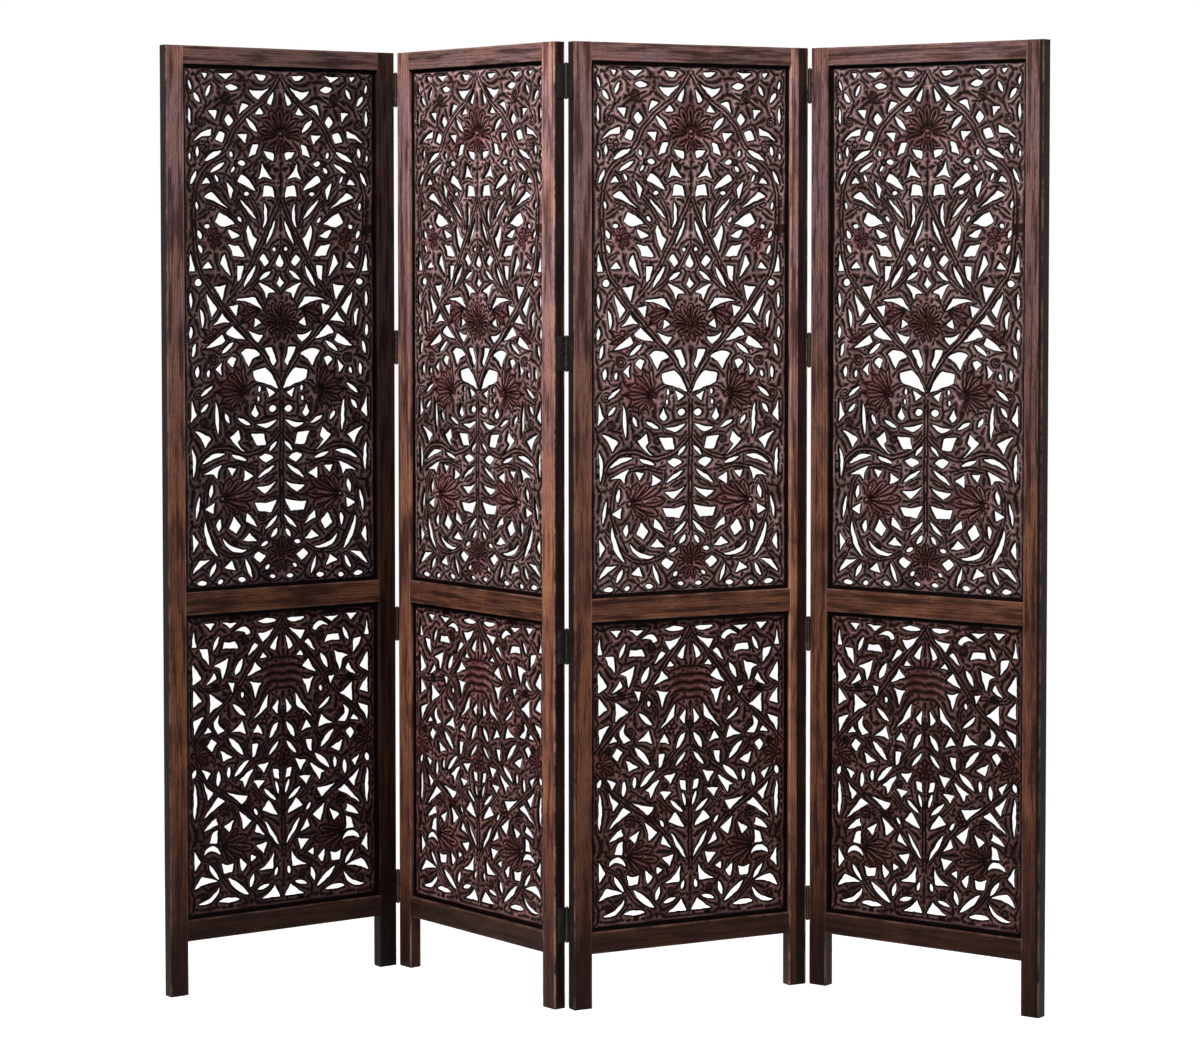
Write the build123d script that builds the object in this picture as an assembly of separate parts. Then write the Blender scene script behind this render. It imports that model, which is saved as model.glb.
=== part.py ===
from build123d import *

import os
from math import copysign, hypot, sqrt

# A folding screen of four carved jali panels, hinged edge to edge and standing in a zigzag.
# Each panel is a frame of two stiles and three rails, tenoned together, with a tall and a
# short fretwork board floating in grooves. Iron butt hinges join neighbouring stiles.
# Millimetres, +Z up, origin on the floor under the middle of the standing screen.

# ---- Frame timber ----------------------------------------------------------------------
PANEL_HEIGHT = 1829.0
PANEL_WIDTH = 508.0
FRAME_THICKNESS = 25.0
STILE_WIDTH = 38.0
TOP_RAIL_HEIGHT = 35.0
MIDDLE_RAIL_HEIGHT = 44.0
BOTTOM_RAIL_HEIGHT = 41.0
MIDDLE_RAIL_LIFT = 736.0  # floor to the underside of the middle rail
BOTTOM_RAIL_LIFT = 104.0  # floor to the underside of the bottom rail: the legs' length
EASED_EDGE = 1.2  # radius of the sanded arrises

# ---- Joinery ---------------------------------------------------------------------------
GROOVE_DEPTH = 8.0
TENON_LENGTH = 20.0
TENON_THICKNESS = 8.0
TENON_CLEAR_OF_GROOVE = 2.0
JOINT_CLEARANCE = 0.1  # each side of a tenon
END_CLEARANCE = 1.0  # past a tenon's end

# ---- Fretwork boards -------------------------------------------------------------------
BOARD_THICKNESS = 9.0
BOARD_CLEARANCE = 0.3  # each face of a board in its groove, and below its foot
BOARD_EXPANSION = 0.8  # left for the board to swell, past its sides and its top

# ---- Hinges ----------------------------------------------------------------------------
PANEL_GAP = 5.0  # between two stiles when the screen is opened flat
PIN_STAND_OFF = 2.0  # pin axis in front of the face that it folds on
PIN_RADIUS = 1.5
PIN_CLEARANCE = 0.05
PIN_HEAD_RADIUS = 2.4
PIN_HEAD_THICKNESS = 1.4
KNUCKLE_RADIUS = 3.0
KNUCKLE_COUNT = 5
KNUCKLE_CLEARANCE = 0.3
HINGE_LENGTH = 66.0
LEAF_THICKNESS = 2.0
LEAF_REACH = 19.0  # from the face of the stile across its edge
LOWEST_HINGE_LIFT = 160.0  # floor to a hinge's middle
LOWER_HINGE_LIFT = 690.0
UPPER_HINGE_LIFT = 1244.0
HIGHEST_HINGE_DROP = 73.0  # top of the screen to a hinge's middle

# ---- Hinge screws ----------------------------------------------------------------------
SCREWS_PER_LEAF = 3
SCREW_LENGTH = 14.0
SCREW_RADIUS = 1.4
SCREW_HEAD_RADIUS = 2.9
SCREW_HEAD_DEPTH = 1.5
SCREW_SLOT_WIDTH = 0.7
SCREW_SLOT_DEPTH = 0.6
SCREW_CLEARANCE = 0.05
SCREW_END_MARGIN = 11.0  # leaf's end to the first screw

# ---- How the screen stands -------------------------------------------------------------
PANEL_HEADINGS = (34.3, -52.0, 26.4, -36.6)  # degrees each panel turns from the screen's line
FRONT, BACK = -1, 1  # the side of the frame that a hinge's pin stands off
PIN_SIDES = (FRONT, BACK, FRONT)  # between panels 1 and 2, 2 and 3, 3 and 4

# ---- The carver's pattern --------------------------------------------------------------
# One sheet for each board, drawn for the right half and mirrored. An opening is a ring of
# corners (u, v, swell): u from the centre line, v above the foot of the visible field, and
# swell how far the side that leaves the corner bows out of the opening, or in if negative.
# A leaf has two corners, and there swell is to the left of the side as it is walked.
SHEET_HALF_WIDTH = 216.0
TALL_SHEET_HEIGHT = 1014.0
SHORT_SHEET_HEIGHT = 591.0

TALL_CROWN = (
    ((28, 996, 1), (54, 998, 0), (45, 990, 0), (34, 989, 0)),
    ((102, 998, 0), (134, 998, -1), (118, 987, -1)),
    ((159, 997, 0), (170, 998, 0), (164, 989, 0)),
    ((198, 984, 2.5), (194, 966, 2.5)),
    ((188, 960, 4), (176, 943, 4)),
    ((151, 975, 3), (161, 954, 3)),
    ((92, 971, 5), (119, 973, 5)),
    ((21, 978, 1), (46, 950, 3), (67, 970, -8)),
    ((12, 966, 0), (27, 945, 1), (18, 941, 1)),
    ((67, 938, 1), (84, 942, 1), (89, 920, -2)),
    ((36, 924, 0), (44, 935, 0), (54, 922, 1)),
    ((138, 927, 0), (156, 926, -1), (141, 909, 0)),
    ((112, 919, 1), (121, 909, 1), (111, 899, 1), (102, 908, 1)),
    ((197, 934, 2.5), (196, 900, 2.5)),
    ((73, 912, 4), (50, 888, 4)),
    ((151, 891, 5), (190, 867, -4), (152, 880, 0)),
    ((120, 884, 0), (133, 887, 1), (141, 872, 1), (126, 867, 1)),
    ((71, 883, -1), (93, 881, -1), (76, 865, 0)),
    ((48, 862, 1), (60, 861, 0), (68, 838, -1), (52, 845, 0)),
    ((128, 850, 4), (165, 830, 4)),
    ((179, 858, 3.5), (181, 839, 3.5)),
    ((197, 845, 2), (197, 832, 2)),
    ((109, 849, 3), (105, 837, 3)),
    ((13, 846, 0), (34, 849, 0), (26, 838, 0), (15, 833, 1)),
    ((76, 826, 4), (91, 828, 4)),
    ((122, 827, 3.5), (151, 809, 3.5)),
)
TALL_BOUQUET = (
    ((39, 829, -3), (48, 796, 0), (36, 802, 0), (16, 796, -3)),
    ((99, 818, 3), (106, 808, 3)),
    ((183, 811, 3), (197, 785, 4)),
    ((160, 798, 1), (171, 785, -2), (152, 787, 1)),
    ((142, 803, 2.5), (135, 790, 2.5)),
    ((85, 803, 1), (92, 792, 1), (53, 774, 4)),
    ((117, 790, 0), (108, 755, 0), (102, 775, 1)),
    ((68, 768, 3), (78, 767, 3)),
    ((16, 780, 1), (33, 783, 0), (38, 763, -3), (12, 760, 0)),
    ((150, 769, 2), (166, 761, -1), (112, 738, -1)),
    ((182, 751, 3), (180, 737, 3)),
    ((89, 757, 3), (51, 718, 3)),
    ((36, 751, -3), (38, 700, 9)),
    ((133, 730, 1), (142, 713, 1), (124, 704, 0), (100, 709, 1)),
    ((92, 722, 2.5), (84, 712, 2.5)),
    ((9, 718, 3), (31, 669, 3)),
    ((68, 707, 1), (74, 695, 1), (62, 656, 0), (52, 680, -3)),
    ((115, 697, 1), (107, 682, 1), (89, 685, 2)),
    ((155, 704, 3.5), (165, 703, 3.5)),
    ((180, 696, 3.5), (173, 681, 3.5)),
    ((115, 670, -2), (104, 648, 1), (79, 647, 1), (92, 665, -1)),
    ((178, 668, 3.5), (171, 652, 3.5)),
    ((196, 655, 0), (199, 618, 0), (187, 618, 0)),
    ((10, 660, 3), (17, 660, 3)),
    ((36, 649, 1), (45, 640, 0), (34, 627, 1), (25, 635, 0)),
    ((158, 636, 0), (169, 623, -1), (149, 624, 0)),
    ((122, 650, 1), (131, 633, 0), (109, 606, 0)),
    ((81, 627, 0), (95, 627, 0), (94, 598, 0), (86, 604, 0)),
    ((54, 629, 3.5), (80, 586, 3.5)),
    ((20, 617, 3.5), (46, 600, 3)),
)
TALL_OGEE = (
    ((173, 596, 6), (187, 594, 5)),
    ((48, 593, -1), (34, 577, 0), (30, 563, 0), (26, 576, 0), (12, 577, 4)),
    ((120, 591, -2), (146, 587, -1), (127, 560, 0)),
    ((164, 577, 1), (150, 530, 0), (139, 546, -1)),
    ((197, 578, 3), (195, 546, 3)),
    ((38, 541, -1), (54, 566, 2), (99, 561, -6)),
    ((93, 552, 0), (112, 548, -1), (98, 530, 0)),
    ((178, 544, -1), (173, 508, 8)),
    ((127, 536, -1), (147, 513, -3), (113, 519, -1)),
    ((55, 526, 0), (57, 509, 0), (43, 517, 0)),
    ((106, 511, 1), (119, 497, 2), (78, 485, -1)),
    ((72, 503, 1), (50, 478, 1), (38, 492, -4)),
    ((196, 511, 3.5), (196, 487, 3.5)),
    ((128, 493, 1), (163, 469, 2), (123, 481, 0)),
    ((102, 480, 3), (130, 459, 4)),
    ((187, 478, 3.5), (193, 453, 3.5)),
    ((46, 454, 9), (88, 458, -1), (79, 447, 0), (72, 431, 0), (62, 446, -1)),
    ((18, 468, 1), (35, 467, 0), (15, 433, 0), (9, 441, -1)),
    ((99, 447, 0), (109, 450, 1), (117, 442, 0), (106, 431, 0)),
    ((128, 442, 0), (143, 429, 0), (131, 417, -2)),
    ((158, 426, 3), (160, 414, 3)),
    ((181, 434, 4), (183, 412, 4)),
    ((6, 388, 4), (34, 428, 0), (60, 422, 1), (55, 405, -1)),
)
TALL_PALMETTES = (
    ((150, 396, 3), (176, 376, 3)),
    ((196, 371, 0), (197, 326, 0), (184, 340, -1)),
    ((161, 361, 3.5), (174, 345, 3.5)),
    ((145, 367, 1.5), (139, 299, 5)),
    ((122, 342, 3.5), (113, 323, 3.5)),
    ((94, 332, 2.5), (67, 318, 3)),
    ((58, 359, -1), (64, 341, 1), (56, 333, 1), (49, 340, -1)),
    ((10, 349, 6), (25, 348, 6)),
    ((32, 390, -1), (25, 371, 0), (14, 380, 0)),
    ((47, 393, 2.5), (48, 383, 2.5)),
    ((49, 373, 2.5), (49, 364, 2.5)),
    ((9, 328, -3), (53, 319, 1), (32, 311, 2)),
    ((188, 308, -3), (167, 276, -1), (153, 293, 2)),
    ((93, 311, -2), (113, 295, 3), (79, 265, -1), (97, 284, 0), (89, 292, 0)),
    ((38, 299, 0), (65, 301, 0), (53, 279, 1), (33, 280, 0)),
    ((9, 284, 3), (26, 266, 3)),
    ((123, 263, 8), (173, 246, -1)),
    ((109, 261, 4), (76, 250, 1.5)),
    ((17, 253, 1), (36, 261, 0), (48, 255, 0), (34, 244, 1)),
    ((196, 279, -1), (194, 219, 7)),
    ((132, 241, 2), (172, 222, -2), (147, 226, 0), (141, 215, 0), (138, 230, 0)),
    ((99, 233, -1), (117, 236, 0), (109, 220, 0)),
    ((82, 231, 0), (81, 209, 0), (63, 219, 0)),
    ((14, 238, 3), (52, 213, 3)),
    ((152, 206, 4), (156, 178, 4)),
    ((9, 207, -4), (54, 196, 1), (36, 184, 1)),
)
TALL_FOOT = (
    ((178, 185, 4), (187, 138, 1.5)),
    ((147, 168, 0), (167, 157, 0), (150, 149, 0)),
    ((9, 170, -3), (58, 165, 0), (51, 149, -1), (22, 147, 0)),
    ((8, 141, 1), (36, 114, 5)),
    ((134, 138, 1), (143, 128, 1), (137, 114, 2)),
    ((104, 140, 0), (115, 119, 0), (99, 108, 0), (90, 124, 0)),
    ((76, 146, 0), (78, 131, -1), (53, 119, 0), (66, 136, 0)),
    ((70, 108, -1), (84, 95, 1), (54, 91, -1)),
    ((10, 112, 3), (22, 97, 4)),
    ((30, 87, 3.5), (43, 83, 3)),
    ((168, 134, 11), (140, 66, -2)),
    ((128, 100, 15), (76, 76, -8)),
    ((194, 112, 0), (194, 74, 0), (183, 93, 0)),
    ((50, 69, 1), (61, 60, 0), (47, 50, 1), (35, 62, 0)),
    ((79, 57, 4), (65, 19, 2.5)),
    ((109, 56, 0), (126, 44, 0), (101, 36, 0)),
    ((145, 52, 3.5), (158, 28, 4)),
    ((156, 61, -1), (180, 58, 2), (196, 34, -1)),
    ((165, 15, 4), (185, 16, 4)),
    ((130, 17, 3.5), (141, 15, 3.5)),
    ((80, 17, 4), (96, 18, 4)),
    ((13, 20, 3), (26, 20, 3)),
    ((27, 42, 3), (35, 36, 3)),
)
TALL_CENTRE = (
    ((0, 651, 0), (8, 634, 2), (0, 626, 2), (-8, 634, 0)),
    ((0, 608, -1), (8, 594, 0), (0, 586, 0), (-8, 594, -1)),
)
SHORT_CROWN = (
    ((12, 569, 3), (51, 570, 5)),
    ((98, 569, -1), (131, 570, -1), (113, 559, -1)),
    ((148, 570, 0), (171, 571, -1), (157, 558, -1)),
    ((71, 547, 3), (86, 560, 1), (106, 551, -2), (88, 552, -2), (79, 544, 1)),
    ((16, 555, -5), (53, 546, 0), (42, 528, 1)),
    ((8, 538, 1), (25, 516, 1), (15, 511, 0)),
    ((52, 521, 0), (60, 527, 1), (75, 501, 0)),
    ((97, 519, 0), (104, 532, -1), (127, 532, 0), (131, 521, -1)),
    ((139, 546, 3.5), (151, 518, 3.5)),
    ((194, 560, 0), (198, 527, 0), (189, 528, 0)),
    ((163, 520, 0), (182, 522, 0), (175, 506, -1), (161, 491, 0)),
    ((41, 506, 0), (48, 496, 0), (33, 497, 0)),
    ((118, 502, -1), (132, 493, 0), (150, 487, -1), (137, 482, 0), (132, 459, 0), (125, 478, 0)),
    ((88, 497, 5), (103, 467, 5)),
    ((59, 488, -1), (77, 461, 0), (47, 474, -1)),
    ((196, 492, 0), (197, 454, 0), (178, 465, 0)),
    ((151, 474, -1), (168, 450, 1), (146, 463, 0)),
)
SHORT_LOOPS = (
    ((106, 450, -1), (119, 452, -1), (110, 431, 0)),
    ((46, 448, -2), (72, 450, -1), (64, 437, 0), (58, 416, 0), (54, 436, 0)),
    ((88, 432, 3), (89, 422, 3)),
    ((160, 434, -1), (160, 397, -1), (133, 414, -1)),
    ((195, 443, 0), (197, 409, -2), (177, 419, 0)),
    ((109, 409, 4), (82, 386, 3)),
    ((31, 424, -2), (69, 371, -1), (33, 399, 0)),
    ((8, 413, 0), (21, 396, 1), (10, 384, 0)),
    ((173, 391, 0), (195, 383, 0), (195, 355, -1)),
    ((138, 391, 1), (152, 377, 1), (144, 356, 0), (128, 359, 0), (142, 371, -2)),
    ((165, 368, 0), (174, 356, -1), (157, 359, 0)),
    ((89, 376, -3), (113, 357, -2), (81, 351, -1)),
    ((55, 366, 0), (65, 352, -2), (44, 346, 1)),
    ((9, 367, 5), (28, 336, 4)),
    ((156, 344, 0), (165, 333, 0), (155, 322, 0), (145, 336, 0)),
    ((117, 344, 5), (86, 311, 5)),
    ((137, 321, 0), (130, 299, 0), (112, 307, -1)),
    ((54, 327, 0), (66, 327, 0), (66, 303, 0), (60, 306, 0)),
    ((9, 329, 3), (31, 303, 3.5)),
)
SHORT_FAN = (
    ((192, 288, 4), (197, 274, 4)),
    ((178, 288, -1), (168, 267, 0), (160, 278, 0)),
    ((141, 281, 4.5), (143, 253, 4.5)),
    ((119, 288, 3.5), (119, 267, 3.5)),
    ((75, 298, 4.5), (107, 267, 4)),
    ((30, 291, -1), (54, 287, -1), (42, 269, 0)),
    ((9, 272, 0), (20, 275, 0), (17, 259, 0), (7, 256, 0)),
    ((64, 281, 1), (96, 259, -1), (88, 258, 0), (85, 244, 0), (75, 262, 1)),
    ((39, 255, 0), (64, 254, -1), (54, 239, -1)),
    ((15, 252, 2.5), (8, 225, 3)),
    ((179, 266, -2), (165, 226, 0), (153, 240, -2)),
    ((195, 263, 2), (194, 188, 5)),
    ((125, 239, -1), (90, 212, 1), (79, 228, -3)),
    ((142, 230, 1), (177, 189, -2), (128, 221, 0)),
    ((42, 238, 3.5), (13, 213, 2.5)),
    ((30, 213, 0), (45, 197, 0), (12, 185, 1)),
    ((96, 199, -1), (87, 163, 0), (69, 177, 0)),
    ((64, 201, 2.5), (55, 188, 2.5)),
)
SHORT_FOOT = (
    ((146, 190, 2), (174, 168, 1), (143, 178, -2)),
    ((108, 185, -1), (129, 172, 0), (118, 161, 0)),
    ((41, 176, 3), (8, 124, 3.5)),
    ((57, 170, 0), (62, 155, 0), (39, 146, -1)),
    ((144, 165, 0), (154, 162, 0), (162, 143, 0), (145, 141, -1)),
    ((139, 118, 17), (174, 118, -9)),
    ((35, 133, -1), (60, 129, -1), (43, 110, 0)),
    ((195, 130, 0), (194, 90, -1), (182, 107, 0)),
    ((71, 111, 0), (70, 98, 0), (59, 104, 0)),
    ((95, 105, 1), (91, 82, 1), (81, 93, 1)),
    ((20, 112, -6), (54, 79, 0), (22, 80, 0)),
    ((109, 98, -5), (135, 101, 0), (130, 81, 0), (112, 82, 0)),
    ((163, 100, 4), (142, 71, 3)),
    ((145, 67, 1), (179, 77, 1), (196, 55, -3)),
    ((121, 70, 5), (76, 33, 4)),
    ((64, 72, 4.5), (72, 47, 3)),
    ((12, 81, 3), (17, 65, 3)),
    ((29, 49, 3), (56, 42, 3.5)),
    ((140, 56, -6), (187, 27, 13)),
    ((97, 26, 5), (142, 27, 3)),
    ((18, 44, -2), (48, 22, 0), (6, 23, 0)),
)
TALL_OPENINGS = TALL_CROWN + TALL_BOUQUET + TALL_OGEE + TALL_PALMETTES + TALL_FOOT
SHORT_OPENINGS = SHORT_CROWN + SHORT_LOOPS + SHORT_FAN + SHORT_FOOT
STRAIGHT_WITHIN = 0.2  # a side that swells less than this is cut straight
SAW_ALLOWANCE = 0.8  # an opening comes out wider than its drawn line by this on every side
LONGEST_TIP = 1.8  # farthest that a sharp corner moves out, in allowances

# ---- Sizes that follow -----------------------------------------------------------------
FIELD_WIDTH = PANEL_WIDTH - 2 * STILE_WIDTH
SHORT_FIELD_FOOT = BOTTOM_RAIL_LIFT + BOTTOM_RAIL_HEIGHT
TALL_FIELD_FOOT = MIDDLE_RAIL_LIFT + MIDDLE_RAIL_HEIGHT
SHORT_FIELD_HEIGHT = MIDDLE_RAIL_LIFT - SHORT_FIELD_FOOT
TOP_RAIL_LIFT = PANEL_HEIGHT - TOP_RAIL_HEIGHT
TALL_FIELD_HEIGHT = TOP_RAIL_LIFT - TALL_FIELD_FOOT
GROOVE_WIDTH = BOARD_THICKNESS + 2 * BOARD_CLEARANCE
TENON_SHOULDER = GROOVE_DEPTH + TENON_CLEAR_OF_GROOVE
HALF_PITCH = (PANEL_WIDTH + PANEL_GAP) / 2  # panel's middle to the pin axis, along the panel
PIN_OFFSET = FRAME_THICKNESS / 2 + PIN_STAND_OFF  # panel's mid-plane to the pin axis
HINGE_LIFTS = (
    LOWEST_HINGE_LIFT,
    LOWER_HINGE_LIFT,
    UPPER_HINGE_LIFT,
    PANEL_HEIGHT - HIGHEST_HINGE_DROP,
)
HINGE_NAMES = ("lowest", "lower", "upper", "top")
LEFT, RIGHT = -1, 1  # ends of a panel, seen from the front


def side_points(corners, closes_on_itself):
    """Start, waist and end of each side of an opening, with the waist moved by its swell."""
    count = len(corners)
    area = sum(
        corners[i][0] * corners[(i + 1) % count][1] - corners[(i + 1) % count][0] * corners[i][1]
        for i in range(count)
    )
    outward = -1 if closes_on_itself and area > 0 else 1
    sides = []
    for i, (u, v, swell) in enumerate(corners):
        end_u, end_v, _ = corners[(i + 1) % count]
        length = hypot(end_u - u, end_v - v)
        left_u, left_v = -(end_v - v) / length, (end_u - u) / length
        waist = (
            (u + end_u) / 2 + outward * swell * left_u,
            (v + end_v) / 2 + outward * swell * left_v,
        )
        sides.append(((u, v), waist, (end_u, end_v), swell))
    return sides


def widened(corners):
    """The corners of an opening after the saw has widened it."""
    count = len(corners)
    if count == 2:
        (u, v, swell), (end_u, end_v, end_swell) = corners
        reach = SAW_ALLOWANCE * LONGEST_TIP / hypot(end_u - u, end_v - v)
        du, dv = (end_u - u) * reach, (end_v - v) * reach
        wider = copysign(SAW_ALLOWANCE, swell + end_swell)
        return ((u - du, v - dv, swell + wider), (end_u + du, end_v + dv, end_swell + wider))
    area = sum(
        corners[i][0] * corners[(i + 1) % count][1] - corners[(i + 1) % count][0] * corners[i][1]
        for i in range(count)
    )
    turn = copysign(1.0, area)
    outward = []
    for i, (u, v, _) in enumerate(corners):
        end_u, end_v, _ = corners[(i + 1) % count]
        length = hypot(end_u - u, end_v - v)
        outward.append((turn * (end_v - v) / length, turn * (u - end_u) / length))
    made = []
    for i, (u, v, swell) in enumerate(corners):
        before, after = outward[i - 1], outward[i]
        lean_u, lean_v = before[0] + after[0], before[1] + after[1]
        square = max(lean_u**2 + lean_v**2, 1e-6)
        reach = min(2 / square, LONGEST_TIP / sqrt(square)) * SAW_ALLOWANCE
        made.append((u + lean_u * reach, v + lean_v * reach, swell))
    return tuple(made)


def opening_wire(corners, width_scale, height_scale):
    """Closed outline of one opening, stretched from the sheet to the field."""
    edges = []
    for start, waist, end, swell in side_points(widened(corners), len(corners) > 2):
        first, middle, last = (
            Vector(point[0] * width_scale, point[1] * height_scale) for point in (start, waist, end)
        )
        if abs(swell) < STRAIGHT_WITHIN:
            edges.append(Edge.make_line(first, last))
        else:
            edges.append(Edge.make_three_point_arc(first, middle, last))
    return Wire(edges)


def fretwork_board(openings, centre_openings, sheet_height, field_height):
    """Pierced board, foot of its visible field at the origin, centred on the Y plane."""
    width_scale = FIELD_WIDTH / (2 * SHEET_HALF_WIDTH)
    height_scale = field_height / sheet_height
    half_width = FIELD_WIDTH / 2 + GROOVE_DEPTH - BOARD_EXPANSION
    foot = -(GROOVE_DEPTH - BOARD_CLEARANCE)
    head = field_height + GROOVE_DEPTH - BOARD_EXPANSION
    outline = Wire.make_polygon(
        [(-half_width, foot), (half_width, foot), (half_width, head), (-half_width, head)], close=True
    )
    holes = []
    for corners in openings:
        for mirror in (LEFT, RIGHT):
            holes.append(opening_wire(corners, mirror * width_scale, height_scale))
    for corners in centre_openings:
        holes.append(opening_wire(corners, width_scale, height_scale))
    board = extrude(Face(outline, holes), BOARD_THICKNESS)
    return Rot(X=90) * Pos(0, 0, -BOARD_THICKNESS / 2) * board


def bar(width, height, x, z):
    """Frame timber with sanded arrises, from its lower corner at x, z."""
    blank = Pos(x + width / 2, 0, z + height / 2) * Box(width, FRAME_THICKNESS, height)
    long_axis = Axis.Z if height > width else Axis.X
    return fillet(blank.edges().filter_by(long_axis), EASED_EDGE)


def groove(x_from, x_to, z_from, z_to):
    """Cutter for a groove that takes a board's edge."""
    return Pos((x_from + x_to) / 2, 0, (z_from + z_to) / 2) * Box(
        x_to - x_from, GROOVE_WIDTH, z_to - z_from
    )


def tenon(height, x_from, length, z, clearance=0.0):
    """Tenon from x_from towards +X, or the mortise for it if it is given a clearance."""
    centre_x = x_from + length / 2
    return Pos(centre_x, 0, z + height / 2) * Box(
        abs(length), TENON_THICKNESS + 2 * clearance, height + 2 * clearance
    )


RAILS = {
    "bottom": (BOTTOM_RAIL_LIFT, BOTTOM_RAIL_HEIGHT),
    "middle": (MIDDLE_RAIL_LIFT, MIDDLE_RAIL_HEIGHT),
    "top": (TOP_RAIL_LIFT, TOP_RAIL_HEIGHT),
}
FIELDS = {
    "short": (SHORT_FIELD_FOOT, SHORT_FIELD_HEIGHT),
    "tall": (TALL_FIELD_FOOT, TALL_FIELD_HEIGHT),
}


def rail(lift, height):
    """Rail with a tenon at each end, grooved where a board enters its edges."""
    shape = bar(FIELD_WIDTH, height, -FIELD_WIDTH / 2, lift)
    for end in (LEFT, RIGHT):
        shape += tenon(
            height - 2 * TENON_SHOULDER,
            end * FIELD_WIDTH / 2,
            end * TENON_LENGTH,
            lift + TENON_SHOULDER,
        )
    for foot, field_height in FIELDS.values():
        if foot == lift + height:
            shape -= groove(-FIELD_WIDTH / 2, FIELD_WIDTH / 2, foot - GROOVE_DEPTH, foot)
        if foot + field_height == lift:
            shape -= groove(-FIELD_WIDTH / 2, FIELD_WIDTH / 2, lift, lift + GROOVE_DEPTH)
    return shape


def screw_lifts(hinge_lift):
    """Heights of a leaf's screws, evenly spaced about the hinge's middle."""
    span = HINGE_LENGTH - 2 * SCREW_END_MARGIN
    return [
        hinge_lift - span / 2 + span * i / (SCREWS_PER_LEAF - 1) for i in range(SCREWS_PER_LEAF)
    ]


def leaf_centre(pin_side):
    """Middle of a leaf's screw line, across the thickness of the frame."""
    return pin_side * (FRAME_THICKNESS / 2 - (KNUCKLE_RADIUS + LEAF_REACH) / 2)


def screw_blank(clearance):
    """Screw along +X with its head's face at the origin, grown by the clearance."""
    head = Cone(
        SCREW_HEAD_RADIUS + clearance, SCREW_RADIUS + clearance, SCREW_HEAD_DEPTH
    )
    shank = Cylinder(SCREW_RADIUS + clearance, SCREW_LENGTH - SCREW_HEAD_DEPTH + clearance)
    blank = Pos(0, 0, SCREW_HEAD_DEPTH / 2) * head
    blank += Pos(0, 0, SCREW_HEAD_DEPTH + (SCREW_LENGTH - SCREW_HEAD_DEPTH + clearance) / 2) * shank
    return Rot(Y=90) * blank


def screw():
    """Slotted countersunk screw along +X, with its head's face at the origin."""
    slot = Box(2 * SCREW_SLOT_DEPTH, 2 * SCREW_HEAD_RADIUS + 1, SCREW_SLOT_WIDTH)
    return screw_blank(0.0) - slot


def at_leaf_screws(end, pin_side):
    """Places of the screws in every leaf at one end of a panel, pointing into its stile."""
    face = end * (PANEL_WIDTH / 2 + LEAF_THICKNESS)
    turn = Rot(Z=180) if end == RIGHT else Rot(Z=0)
    return [
        Pos(face, leaf_centre(pin_side), lift) * turn
        for hinge_lift in HINGE_LIFTS
        for lift in screw_lifts(hinge_lift)
    ]


def stile(end, pin_side):
    """Upright with its leg, grooved and mortised inside, drilled outside if it is hinged."""
    inner = end * FIELD_WIDTH / 2
    shape = bar(STILE_WIDTH, PANEL_HEIGHT, min(inner, inner + end * STILE_WIDTH), 0)
    for foot, field_height in FIELDS.values():
        reach = sorted((inner, inner + end * GROOVE_DEPTH))
        shape -= groove(*reach, foot - GROOVE_DEPTH, foot + field_height + GROOVE_DEPTH)
    for lift, height in RAILS.values():
        shape -= tenon(
            height - 2 * TENON_SHOULDER,
            inner,
            end * (TENON_LENGTH + END_CLEARANCE),
            lift + TENON_SHOULDER,
            JOINT_CLEARANCE,
        )
    if pin_side:
        for place in at_leaf_screws(end, pin_side):
            shape -= place * screw_blank(SCREW_CLEARANCE)
    return shape


def knuckle_span(index):
    """Bottom and top of one knuckle, from the foot of the hinge."""
    pitch = HINGE_LENGTH / KNUCKLE_COUNT
    bottom = index * pitch + (KNUCKLE_CLEARANCE / 2 if index else 0)
    top = (index + 1) * pitch - (KNUCKLE_CLEARANCE / 2 if index < KNUCKLE_COUNT - 1 else 0)
    return bottom, top


def hinge_leaf(end, pin_side, lift):
    """Leaf on a stile's edge with its share of the knuckles, outer ones on a right end."""
    pin_x, pin_y = end * HALF_PITCH, pin_side * PIN_OFFSET
    plate_x = end * (PANEL_WIDTH / 2 + LEAF_THICKNESS / 2)
    foot = lift - HINGE_LENGTH / 2
    near = PIN_OFFSET - KNUCKLE_RADIUS - KNUCKLE_CLEARANCE
    far = FRAME_THICKNESS / 2 - LEAF_REACH
    shape = Pos(plate_x, pin_side * (near + far) / 2, lift) * Box(
        LEAF_THICKNESS, near - far, HINGE_LENGTH
    )
    for index in range(0 if end == RIGHT else 1, KNUCKLE_COUNT, 2):
        bottom, top = knuckle_span(index)
        middle = foot + (bottom + top) / 2
        neck = Pos(plate_x, pin_side * (PIN_OFFSET + near) / 2, middle) * Box(
            LEAF_THICKNESS, PIN_OFFSET - near, top - bottom
        )
        barrel = Pos(pin_x, pin_y, middle) * Cylinder(KNUCKLE_RADIUS, top - bottom)
        shape += neck + barrel
    shape -= Pos(pin_x, pin_y, lift) * Cylinder(PIN_RADIUS + PIN_CLEARANCE, HINGE_LENGTH)
    for place in at_leaf_screws(end, pin_side):
        shape -= place * screw_blank(SCREW_CLEARANCE)
    return shape


def hinge_pin(end, pin_side, lift):
    """Pin with a head at each end of the knuckles."""
    shape = Cylinder(PIN_RADIUS, HINGE_LENGTH)
    for z in (-1, 1):
        shape += Pos(0, 0, z * (HINGE_LENGTH + PIN_HEAD_THICKNESS) / 2) * Cylinder(
            PIN_HEAD_RADIUS, PIN_HEAD_THICKNESS
        )
    return Pos(end * HALF_PITCH, pin_side * PIN_OFFSET, lift) * shape


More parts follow.
